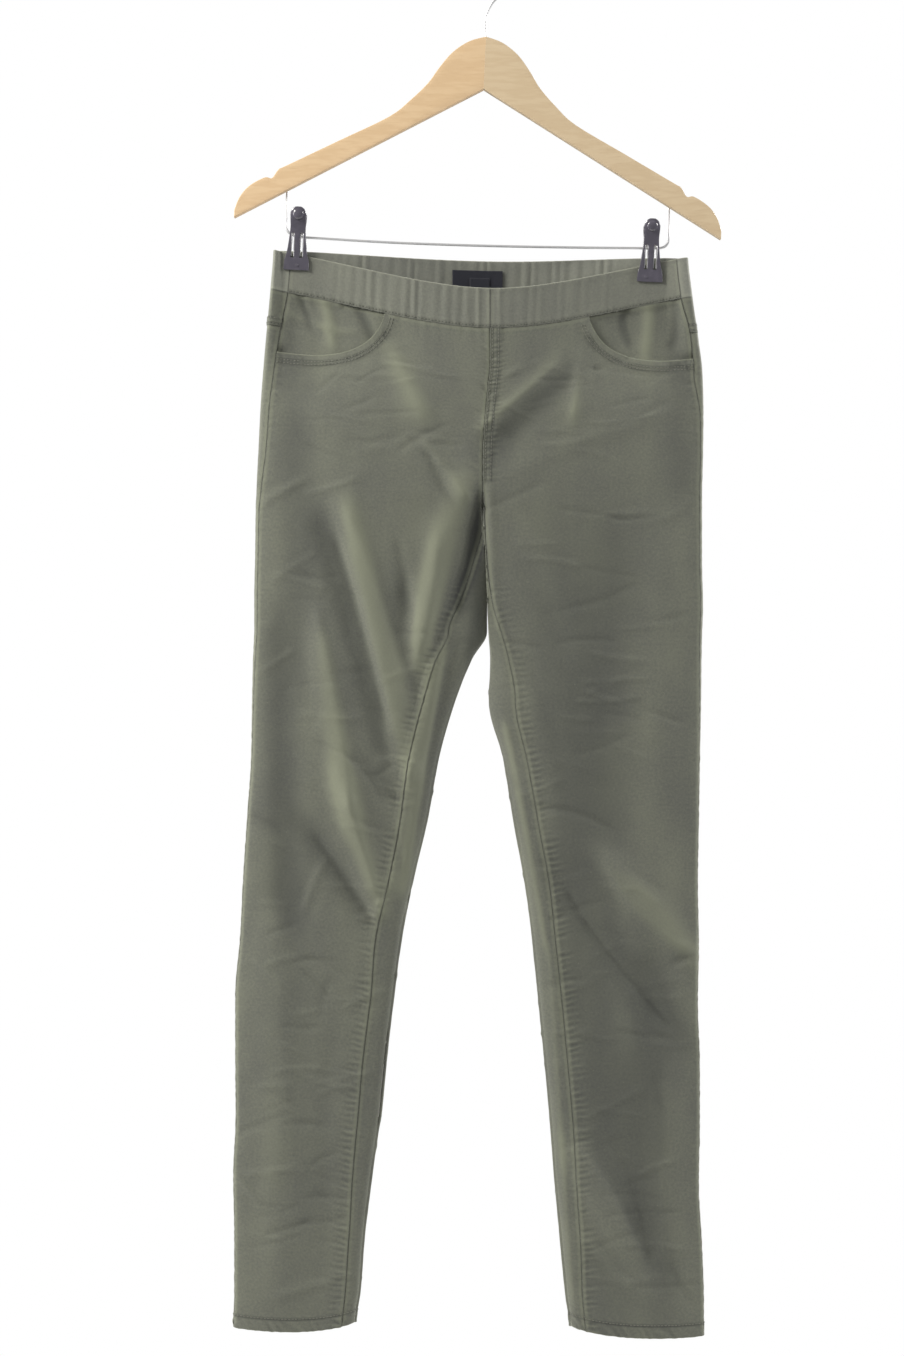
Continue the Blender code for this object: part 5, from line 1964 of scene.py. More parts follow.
        turn, share = spread(side, start, end, level, self.coarse, drop)
        mouth = self._mouth_drop(share / self.mouth_share) + self.seam_gap
        lowered = level[:, None] + fade[:, None] * mouth
        felled = side is Side.LEFT
        finishes = (
            EdgeFinish(Edge.END, raised=0.9 if felled else 0.0, width=8.2, pucker=0.4, pitch=8.2, reach=6.0,
                       slant=0.6, ladder=0.9 if felled else 0.2, lines=(2.0, 7.2) if felled else (),
                       span=(0.0, SURFACE.fork - 8.0)),
            EdgeFinish(Edge.END, raised=0.5, pucker=0.3, width=5.0, pitch=8.8, reach=10.0, slant=0.2,
                       ladder=0.8, span=(SURFACE.fork + 84.0, BELOW_HEM)),
            EdgeFinish(Edge.START, pucker=0.24, width=2.0, pitch=11.0, reach=6.0, slant=0.3, ladder=0.35),
            self.hem_finish,
        )
        cut = Cut.on(side, turn, lowered)
        return ClothPiece(f"front_panel_{side.value}_cloth", cut, self._leg_wall(lowered), finishes,
                          seed=0.0 if side is Side.RIGHT else 3.7, free=(Edge.BOTTOM,),
                          extra=self._mouth_relief)

    def _mouth_relief(self, piece: ClothPiece) -> Array:
        """Sews the pocket mouth's hem, and gives its relief and that of the waistband's gathers.

        Args:
            piece: The front panel.

        Returns:
            Heights in millimetres.
        """
        mouth = self._mouth_distance(piece)
        finish = EdgeFinish(Edge.TOP, raised=0.6, width=10.0, pucker=0.3, pitch=7.0, reach=5.0,
                            lines=self.mouth_lines)
        depth = piece.cut.level - SURFACE.waist_seam
        lower = smooth((depth - 13.0) / 10.0)
        # The mouth's stitches are darkened as painted shade, and its edge paled as wear and painted
        # highlight.
        piece.marks = np.maximum(piece.marks, 0.75 * lower * stitched(mouth, finish))
        piece.lip = np.minimum(piece.lip, mouth)
        piece.strips += doubled(mouth, finish)
        along = piece.outer[..., 0] + 0.6 * piece.outer[..., 2]
        tuck = np.exp(-((mouth / 8.0) ** 2)) * np.exp(-(((depth - self.tuck_depth) / 11.0) ** 2))
        piece.strips += self.tuck_height * tuck
        return lower * sewn(mouth, along, finish, 6.0) + self._gathered(piece, self.front_gathers)

    def _mouth_edge(self, piece: ClothPiece) -> Array:
        """Gives the pocket mouth's edge, as the part of the panel's top edge that is lowered."""
        top = piece.outer[0]
        return top[piece.cut.level[0] > SURFACE.waist_seam + 0.6]

    def _mouth_distance(self, piece: ClothPiece) -> Array:
        """Gives each point's distance from the pocket mouth.

        Args:
            piece: The front panel.

        Returns:
            Distances in millimetres.
        """
        edge = self._mouth_edge(piece)[:, [0, 2]]
        places = piece.outer[..., [0, 2]].reshape(-1, 1, 2)
        start, run = edge[:-1], np.diff(edge, axis=0)
        share = ((places - start) * run).sum(axis=-1) / np.maximum(1e-9, (run**2).sum(axis=-1))
        nearest = start + np.clip(share, 0.0, 1.0)[..., None] * run
        return np.linalg.norm(places - nearest, axis=-1).min(axis=1).reshape(piece.outer.shape[:2])

    def _mouth_stitches(self, piece: ClothPiece) -> list[tuple[Array, Array]]:
        """Gives the two rows of stitches round the pocket mouth.

        Args:
            piece: The front panel.

        Returns:
            Points and normals of each row.
        """
        edge = self._mouth_edge(piece)[:, [0, 2]]
        runs = np.concatenate([[0.0], np.cumsum(np.linalg.norm(np.diff(edge, axis=0), axis=-1))])
        places = np.linspace(0.0, runs[-1], 70)
        even = np.stack([np.interp(places, runs, edge[:, axis]) for axis in (0, 1)], axis=-1)
        along = np.gradient(even, axis=0)
        along /= np.linalg.norm(along, axis=-1, keepdims=True)
        away = np.stack([along[:, 1], -along[:, 0]], axis=-1) * piece.cut.facing
        rim = piece.outer[0] if piece.cut.facing > 0.0 else piece.outer[0][::-1]
        routes = []
        for offset in self.mouth_lines:
            route = even + away * offset
            top = np.interp(route[:, 0], rim[:, 0], rim[:, 2])
            routes.append(piece.follow(route[route[:, 1] < top - 1.5]))
        return routes

    def _back_start(self, side: Side, level: Array) -> Array:
        """Gives the first turn of the back panel's rows: the back seam, then the inseam."""
        start = np.where(level >= SURFACE.fork, SURFACE.inseam(side, level), self._crotch_turn(level))
        return start + seam_step(side, start + 0.02, level, self.seam_gap)

    def back_panel(self, side: Side) -> ClothPiece:
        """Cuts a back leg panel, from the yoke's seam to the hem, with the inner thigh.

        Args:
            side: The half of the garment.

        Returns:
            The piece.
        """
        level = self._levels()
        fade = SURFACE.waist_fade(level)
        side_level = level + fade * self.yoke_side
        end = self._back_side(side, side_level)
        turn, _ = spread(side, self._back_start(side, level), end, level, self.coarse)
        lowered = level[:, None] + fade[:, None] * (self._yoke_drop(turn) + self.seam_gap)
        felled = side is Side.RIGHT
        finishes = (
            EdgeFinish(Edge.START, raised=0.6 if felled else 0.0, width=8.0, pucker=0.4, reach=7.0, slant=0.8,
                       lines=(2.0, 7.0) if felled else (), span=(0.0, SURFACE.fork - 26.0)),
            EdgeFinish(Edge.START, pucker=0.26, width=2.0, pitch=9.0, reach=5.0, slant=0.3, ladder=0.4,
                       span=(SURFACE.fork, BELOW_HEM)),
            EdgeFinish(Edge.END, pucker=0.24, width=2.0, pitch=11.0, reach=6.0, ladder=0.35),
            EdgeFinish(Edge.TOP, pucker=0.2, width=2.0, reach=6.0),
            self.hem_finish,
        )
        cut = Cut.on(side, turn, lowered)
        return ClothPiece(f"back_panel_{side.value}_cloth", cut, self._leg_wall(lowered), finishes,
                          seed=1.9 if side is Side.RIGHT else 5.2, free=(Edge.BOTTOM,))

    def back_yoke(self, side: Side) -> ClothPiece:
        """Cuts the back yoke, between the waistband and the back panel.

        Args:
            side: The half of the garment.

        Returns:
            The piece.
        """
        part = self.fine.places(self.yoke_centre)[0] / self.yoke_centre
        level = SURFACE.waist_seam + part * self.yoke_side
        start = 2.0 + seam_step(side, np.full(len(level), 2.02), level, self.seam_gap)
        turn, _ = spread(side, start, self._back_side(side, level), level, self.coarse)
        depth = self._yoke_drop(turn) - 2.0 * self.seam_gap
        placed = SURFACE.waist_seam + self.seam_gap + part[:, None] * depth
        felled = side is Side.RIGHT
        finishes = (
            EdgeFinish(Edge.BOTTOM, raised=0.6, width=8.0, pucker=0.3, reach=6.0, lines=(2.0, 7.0)),
            EdgeFinish(Edge.START, raised=0.6 if felled else 0.0, width=8.0, pucker=0.3, reach=6.0,
                       lines=(2.0, 7.0) if felled else ()),
            EdgeFinish(Edge.END, pucker=0.2, width=2.0, reach=6.0),
        )
        return ClothPiece(f"back_yoke_{side.value}_cloth", Cut.on(side, turn, placed), self.wall, finishes,
                          seed=2.6 if side is Side.RIGHT else 6.1,
                          extra=lambda piece: self._gathered(piece, self.back_gathers))

    def pocket_facing(self, side: Side) -> ClothPiece:
        """Cuts the cloth seen in the scoop pocket's mouth, under the front panel.

        Args:
            side: The half of the garment.

        Returns:
            The piece.
        """
        height = self.mouth_depth + self.facing_lap
        part = self.fine.places(height)[0] / height
        level = SURFACE.waist_seam + part * height
        start = self._front_side(side, level, self.facing_gap)
        turns, lengths, _ = measure(side, start, np.ones(len(level)), level)
        reach = self.facing_reach * self.mouth_share
        end = np.array([np.interp(reach * row[-1], row, turn) for row, turn in zip(lengths, turns)])
        turn, share = spread(side, start, end, level, self.fine)
        depth = self._mouth_drop(share * self.facing_reach / 1.12) + self.facing_lap
        placed = SURFACE.waist_seam + self.seam_gap + part[:, None] * depth
        open_above = smooth((self._mouth_drop(share / self.mouth_share) - part[:, None] * depth - 2.0) / 6.0)
        sewn_down = np.maximum(1.0 - smooth(share / 0.14), 1.0 - smooth(part[:, None] * depth / 7.0))
        inset = (self.wall + self.facing_clear) * (1.0 - 0.94 * open_above * sewn_down)
        return ClothPiece(f"pocket_facing_{side.value}_cloth", Cut.on(side, turn, placed), self.facing_wall,
                          inset=inset, seed=4.4, crumple=0.6, extra=self._facing_folds)

    @staticmethod
    def _facing_folds(piece: ClothPiece) -> Array:
        """Gives the soft folds of the cloth behind the pocket's mouth."""
        return heap(POCKET_FOLDS, piece.outer[..., 0], -piece.outer[..., 2])

    def back_pocket(self, side: Side) -> ClothPiece:
        """Cuts a patch pocket that lies on the back panel, pointed at its foot.

        Args:
            side: The half of the garment.

        Returns:
            The piece.
        """
        part = self.fine.places(self.pocket_point)[0] / self.pocket_point
        share = self.fine.places(self.pocket_width)[0] / self.pocket_width
        narrow = self.pocket_narrow * part[:, None]
        first, last = self.pocket_turns
        turn = first + narrow + (last - first - 2.0 * narrow) * share[None, :]
        foot = self.pocket_side + (self.pocket_point - self.pocket_side) * (1.0 - np.abs(2.0 * share - 1.0))
        placed = self.pocket_top + part[:, None] * foot[None, :]
        finishes = (
            EdgeFinish(Edge.TOP, raised=0.5, width=20.0, pucker=0.2, reach=5.0, lines=(2.0, 20.0)),
            *(EdgeFinish(edge, pucker=0.16, width=7.0, reach=5.0, lines=(1.8, 7.0))
              for edge in (Edge.START, Edge.END, Edge.BOTTOM)),
        )
        return ClothPiece(f"back_pocket_{side.value}_cloth", Cut.on(side, turn, placed), self.pocket_wall,
                          finishes, inset=-(self.pocket_wall + 0.35), seed=1.9, free=tuple(Edge))

    def _ripple(self, piece: ClothPiece, gathers: tuple[float, float]) -> Array:
        """Gives the elastic waistband's gathers, which fade out toward the clips.

        Args:
            piece: The piece.
            gathers: The x where the gathers start and stop.

        Returns:
            Heights in millimetres.
        """
        x = piece.outer[..., 0]
        mask = smooth((x - gathers[0] + 16.0) / 52.0) * smooth((gathers[1] - x + 16.0) / 52.0)
        place = x + 2.6 * wander(x, 4.0, 58.0) + 0.05 * (piece.cut.level - SURFACE.band_top)
        wave = np.sin(2.0 * math.pi * place / self.ripple_pitch)
        wave = wave + 0.35 * np.sin(2.0 * math.pi * place / (1.63 * self.ripple_pitch) + piece.seed)
        uneven = 0.62 + 0.55 * wander(x, 7.0 + piece.seed, 37.0)
        return self.ripple_height * mask * uneven * wave

    def _band_half(self, side: Side, start: Array, end: Array, level: Array) -> Cut:
        """Lays one half of a band, its columns upright.

        Args:
            side: The half of the garment.
            start: The first turn of each level.
            end: The last turn of each level.
            level: The levels.

        Returns:
            The half.
        """
        turn, _ = spread(side, start[:1], end[:1], level[:1], self.ripples)
        turn = np.repeat(turn, len(level), axis=0)
        return Cut.on(side, turn, level[:, None] + np.zeros_like(turn))

    def _band_levels(self) -> Array:
        """Gives the rows of the waistband."""
        height = SURFACE.waist_seam - SURFACE.band_top - self.seam_gap
        return SURFACE.band_top + self.band_rows.places(height)[0]

    def waistband_front(self, side: Side) -> ClothPiece:
        """Cuts one front half of the elastic waistband.

        Args:
            side: The half of the garment.

        Returns:
            The piece.
        """
        level = self._band_levels()
        start = self._front_side(side, level, self.seam_gap)
        end = 1.0 - seam_step(side, np.full(len(level), 0.98), level, self.seam_gap)
        cut = self._band_half(side, start, end, level)
        finishes = (
            EdgeFinish(Edge.BOTTOM, raised=0.3, pucker=0.26, pitch=7.4, width=3.6, reach=4.0, lines=(1.9,)),
            EdgeFinish(Edge.TOP, raised=0.25, pucker=0.1, width=2.6, reach=3.0),
        )
        return ClothPiece(f"waistband_front_{side.value}_cloth", cut, self.band_wall, finishes, crumple=0.5,
                          seed=8.1, free=(Edge.TOP,), extra=self._band_relief)

    def _band_relief(self, piece: ClothPiece) -> Array:
        """Gives the front band's gathers, flattened by the middle seam, and its pressed ridges.

        Args:
            piece: The piece.

        Returns:
            Heights in millimetres.
        """
        x = piece.outer[..., 0]
        flat = smooth((np.abs(x - 2.5) - 5.0) / 8.0)
        ridges = sum(height * np.exp(-(((x - place) / width) ** 2))
                     for place, width, height in self.BAND_RIDGES)
        return (0.25 + 0.75 * flat) * self._ripple(piece, self.front_gathers) + ridges

    def waistband_back(self) -> ClothPiece:
        """Cuts the back waistband, from side seam to side seam in one piece.

        Returns:
            The piece.
        """
        level = self._band_levels()
        middle = np.full(len(level), 2.0)
        halves = [self._band_half(side, middle, self._back_side(side, level), level) for side in Side]
        cut = Cut.joined(*halves)
        return ClothPiece("waistband_back_cloth", cut, self.band_wall, (), crumple=0.5, seed=8.8,
                          free=(Edge.TOP,), extra=lambda piece: self._ripple(piece, self.back_gathers))

    def hung_label(self, label: Label) -> ClothPiece:
        """Cuts a bare cloth label that hangs inside the back waistband.

        Args:
            label: Its sizes.

        Returns:
            The piece.
        """
        across = self.label_rows.places(label.width)[0] / label.width - 0.5
        down = self.label_rows.places(label.height)[0] / label.height
        x = label.middle + label.width * across[None, :] + np.zeros((len(down), 1))
        level = SURFACE.band_top + label.top + label.height * down[:, None] + np.zeros_like(x)
        right, left = (self._behind(side, x, level) for side in Side)
        points = np.where((x < SURFACE.section(Side.RIGHT, level)["inner"])[..., None], right, left)
        hang = 0.25 * wander(x, 2.0, 40.0) * (level - level[:1]) / label.height
        points = np.stack([x, points[..., 1] - label.inset - np.abs(hang), points[..., 2]], axis=-1)
        cut = Cut(points, np.full(x.shape, 2.5), level, np.zeros(x.shape), -1.0)
        finishes = (EdgeFinish(Edge.TOP, pucker=0.08, pitch=5.0, reach=3.0, width=1.0),)
        return ClothPiece(f"{label.node}_cloth", cut, self.label_wall, finishes, crumple=0.0,
                          free=tuple(Edge))

    @staticmethod
    def _behind(side: Side, x: Array, level: Array) -> Array:
        """Gives the back's surface at a given x.

        Args:
            side: The half of the garment.
            x: Places across.
            level: The levels.

        Returns:
            Points in millimetres.
        """
        row = SURFACE.section(side, level)
        inner = row["inner"] - side.inward * SURFACE.half_gap
        share = np.clip((x - row["outer"]) / (inner - row["outer"]), 0.0, 1.0)
        return SURFACE.point(side, 3.0 - SURFACE.turn_at(share, row["close"]), level)


# --- hard pieces ------------------------------------------------------------------------------


def select_none() -> None:
    """Deselects every object and leaves edit mode."""
    if bpy.context.object is not None and bpy.context.object.mode != "OBJECT":
        bpy.ops.object.mode_set(mode="OBJECT")
    bpy.ops.object.select_all(action="DESELECT")


def smooth_route(points: Sequence[tuple[float, ...]], count: int) -> Array:
    """Draws a smooth curve through points.

    Args:
        points: The points.
        count: How many steps it is given.

    Returns:
        The curve's points.
    """
    knots = np.array(points, float)
    last = len(knots) - 1
    place = np.linspace(0.0, last, count + 1)
    knot = np.minimum(last - 1, place.astype(int))
    part = (place - knot)[:, None]
    start, end = knots[knot], knots[knot + 1]
    before, after = knots[np.maximum(0, knot - 1)], knots[np.minimum(last, knot + 2)]
    return 0.5 * (
        2.0 * start + (end - before) * part
        + (2.0 * before - 5.0 * start + 4.0 * end - after) * part**2
        + (3.0 * start - before - 3.0 * end + after) * part**3
    )


@dataclass
class HardPiece:
    """A rigid piece in the making: one object that operators and modifiers shape."""

    name: str
    material: bpy.types.Material
    item: bpy.types.Object = field(init=False)

    def grid(self, rows: Array) -> None:
        """Starts from a grid primitive whose points are moved to rows of places.

        Args:
            rows: Places in metres, by row and column.
        """
        select_none()
        down, along = rows.shape[:2]
        bpy.ops.mesh.primitive_grid_add(x_subdivisions=along - 1, y_subdivisions=down - 1, size=1.0)
        self.item = bpy.context.object
        self._name()
        order = sorted(self.item.data.vertices, key=lambda v: (round(v.co.y, 5), round(v.co.x, 5)))
        for vertex, place in zip(order, rows.reshape(-1, 3)):
            vertex.co = place

    def cylinder(self, radius: float, depth: float, sides: int) -> None:
        """Starts from an upright cylinder primitive.

        Args:
            radius: Its radius, in metres.
            depth: Its height, in metres.
            sides: How many sides it has.
        """
        select_none()
        bpy.ops.mesh.primitive_cylinder_add(vertices=sides, radius=radius, depth=depth)
        self.item = bpy.context.object
        self._name()

    def ball(self, radius: float, share: float) -> None:
        """Starts from a sphere primitive that is flattened along Y.

        Args:
            radius: Its radius, in metres.
            share: Its depth as a share of its width.
        """
        select_none()
        bpy.ops.mesh.primitive_uv_sphere_add(segments=40, ring_count=20, radius=radius)
        self.item = bpy.context.object
        self.item.scale.y = share
        self._name()

    def wire(self, route: Array, radius: float, sides: int = 3) -> None:
        """Makes a round wire along a route.

        Args:
            route: Its points, in metres.
            radius: Its radius, in metres.
            sides: Its roundness, as the curve's bevel resolution.
        """
        select_none()
        bpy.ops.curve.primitive_nurbs_path_add()
        self.item = bpy.context.object
        curve = self.item.data
        curve.splines.clear()
        spline = curve.splines.new("POLY")
        spline.points.add(len(route) - 1)
        for point, place in zip(spline.points, route):
            point.co = (*place, 1.0)
        curve.bevel_depth = radius
        curve.bevel_resolution = sides
        curve.use_fill_caps = True
        bpy.ops.object.convert(target="MESH")
        self.item = bpy.context.object
        self._name()
        self.item.data.materials.clear()
        self.edit()
        bpy.ops.mesh.select_all(action="SELECT")
        bpy.ops.mesh.remove_doubles(threshold=1e-6)
        bpy.ops.mesh.normals_make_consistent(inside=False)
        self.leave()

    def _name(self) -> None:
        """Names the object and its mesh."""
        self.item.name = self.name
        self.item.data.name = self.name

    def edit(self) -> None:
        """Enters edit mode with nothing selected."""
        bpy.context.view_layer.objects.active = self.item
        self.item.select_set(True)
        bpy.ops.object.mode_set(mode="EDIT")
        bpy.ops.mesh.select_mode(type="FACE")
        bpy.ops.mesh.select_all(action="DESELECT")

    def leave(self) -> None:
        """Leaves edit mode."""
        bpy.ops.object.mode_set(mode="OBJECT")

    def pick_faces(self, wanted: Callable[[Vector, Vector], bool]) -> int:
        """Selects the faces whose centre and normal are wanted.

        Args:
            wanted: Tells whether a face is wanted.

        Returns:
            How many were selected.
        """
        mesh = bmesh.from_edit_mesh(self.item.data)
        mesh.faces.ensure_lookup_table()
        chosen = [face for face in mesh.faces if wanted(face.calc_center_median(), face.normal)]
        for face in chosen:
            face.select_set(True)
        bmesh.update_edit_mesh(self.item.data)
        return len(chosen)

    def modify(self, kind: str, **settings: object) -> None:
        """Adds a modifier and applies it.

        Args:
            kind: The modifier's type.
            **settings: Its settings.
        """
        modifier = self.item.modifiers.new(kind.lower(), kind)
        for name, value in settings.items():
            setattr(modifier, name, value)
        bpy.context.view_layer.objects.active = self.item
        bpy.ops.object.modifier_apply(modifier=modifier.name)

    def join(self, others: Sequence["HardPiece"]) -> None:
        """Joins other pieces into this one.

        Args:
            others: The pieces that are added to it.
        """
        select_none()
        for other in others:
            other.item.select_set(True)
        self.item.select_set(True)
        bpy.context.view_layer.objects.active = self.item
        bpy.ops.object.join()

    def thicken(self, along_y: float) -> None:
        """Makes the sheet a closed board, by extruding all of it along Y. Edit mode is already on.

        Args:
            along_y: How far, in metres.
        """
        bpy.ops.mesh.select_all(action="SELECT")
        bpy.ops.mesh.extrude_region_move(TRANSFORM_OT_translate={"value": (0.0, along_y, 0.0)})
        bpy.ops.mesh.select_all(action="SELECT")
        bpy.ops.mesh.normals_make_consistent(inside=False)

    def ease(self, width: float, segments: int = 2, angle: float = 50.0) -> None:
        """Rounds the sharp edges.

        Args:
            width: How far the rounding reaches, in millimetres.
            segments: How many faces it has across.
            angle: The bend from which an edge is sharp, in degrees.
        """
        self.modify("BEVEL", width=width * MM, segments=segments, limit_method="ANGLE",
                    angle_limit=math.radians(angle))

    def done(self, node: str, angle: float = 50.0) -> bpy.types.Object:
        """Args:
            node: The node that it stands for.
            angle: The sharpest bend that is shaded smooth, in degrees.

        Returns:
            The finished object.
        """
        select_none()
        self.item.select_set(True)
        bpy.context.view_layer.objects.active = self.item
        bpy.ops.object.transform_apply(location=True, rotation=True, scale=True)
        bpy.ops.object.shade_smooth_by_angle(angle=math.radians(angle))
        self.item.data.materials.clear()
        self.item.data.materials.append(self.material)
        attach(self.item, BODY)
        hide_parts(node)
        LOG.info("%s: %d faces", node, len(self.item.data.polygons))
        return self.item


@dataclass
class Hanger:
    """The flat wooden hanger with its wire hook and wire bar."""

    finishes: Finishes
    peak_drop: float = 78.0
    thickness: float = 11.0
    edge: float = 2.0
    under_start: float = 47.4
    under_slope: float = 0.5725
    hook_radius: float = 1.3
    bar_radius: float = 1.1
    bar_y: float = -0.65
    tilt: float = math.radians(2.576)
    # The arm's upper outline: distance out from the middle and depth below the peak.
    ARM_TOP = (
        (0.02, 0.0), (15.0, 4.8), (29.5, 15.2), (41.0, 29.6), (50.8, 44.4), (66.0, 60.5), (85.0, 76.7),
        (130.0, 100.7), (176.0, 125.2), (183.0, 128.9), (188.5, 137.0), (194.5, 136.6), (204.0, 141.5),
        (212.0, 148.0), (218.0, 157.0), (221.5, 167.5),
    )
    HOOK = (
        (0.2, -77.7), (-0.6, -68.0), (0.2, -58.0), (5.5, -46.5), (13.5, -38.0), (19.6, -26.5),
        (20.6, -14.5), (15.5, -4.6), (6.0, 0.4), (0.0, 1.3), (-8.0, -0.3), (-16.5, -7.4),
        (-20.6, -17.0), (-19.8, -26.0), (-15.0, -33.0),
    )
    BAR = (
        (-180.9, -218.45), (-181.6, -240.0), (-182.2, -248.5), (-179.5, -255.3), (-171.3, -259.0),
        (-150.0, -260.8), (-80.0, -264.8), (0.0, -267.5), (80.0, -269.0), (135.0, -269.6),
        (150.0, -269.8), (160.8, -269.0), (165.4, -264.5), (166.0, -256.0), (166.1, -233.25),
    )

    def build(self) -> None:
        """Builds the wood and the wire."""
        for side in Side:
            self.arm(side)
        self.strand("hanger_hook", self.HOOK, 0.0, self.hook_radius, 112)
        self.strand("hanger_bar", self.BAR, self.bar_y, self.bar_radius, 150)

    def arm(self, side: Side) -> None:
        """Builds one wooden half: a board cut to its outline, with eased edges.

        Args:
            side: Which half.
        """
        sign = -side.inward
        top = smooth_route(self.ARM_TOP, 60)
        across = np.linspace(0.0, 1.0, 6)
        out = top[:, 0]
        under = self.under_start + self.under_slope * out
        drop = top[None, :, 1] + across[:, None] * (under - top[:, 1])[None, :]
        x = sign * out[None, :] + np.zeros_like(drop)
        turned_x = x * math.cos(self.tilt) - drop * math.sin(self.tilt)
        turned_z = -x * math.sin(self.tilt) - drop * math.cos(self.tilt) - self.peak_drop
        y = np.full_like(x, 0.5 * self.thickness)
        piece = HardPiece(f"hanger_arm_{side.value}_wood", self.finishes.wood[side])
        piece.grid(np.stack([turned_x, y, turned_z], axis=-1) * MM)
        piece.edit()
        piece.thicken(-self.thickness * MM)
        self._ease(piece)
        piece.leave()
        piece.modify("BEVEL", width=self.edge * MM, segments=4, limit_method="WEIGHT", use_clamp_overlap=True)
        piece.done(f"hanger_arm_{side.value}")

    def _ease(self, piece: HardPiece) -> None:
        """Marks an arm's sharp edges to be rounded, but for those of the joint in the middle.

        Args:
            piece: The arm, in edit mode.
        """
        mesh = bmesh.from_edit_mesh(piece.item.data)
        weight = mesh.edges.layers.float.new("bevel_weight_edge")
        cosine, sine, peak = math.cos(self.tilt), math.sin(self.tilt), self.peak_drop * MM
        for edge in mesh.edges:
            out = max(abs(vertex.co.x * cosine - (vertex.co.z + peak) * sine) for vertex in edge.verts)
            edge[weight] = float(edge.calc_face_angle(0.0) > math.radians(60.0) and out > 0.5 * MM)
        bmesh.update_edit_mesh(piece.item.data)

    def strand(self, node: str, points: Sequence[tuple[float, float]], y: float, radius: float,
               count: int) -> None:
        """Builds a bent wire.

        Args:
            node: The node that it stands for.
            points: Its x and z.
            y: Its depth.
            radius: Its radius.
            count: How many steps its curve has.
        """
        route = smooth_route([(x, y, z) for x, z in points], count) * MM
        piece = HardPiece(f"{node}_wire", self.finishes.wire)
        piece.wire(route, radius * MM)
        piece.ease(0.35, angle=60.0)
        piece.done(node, 60.0)


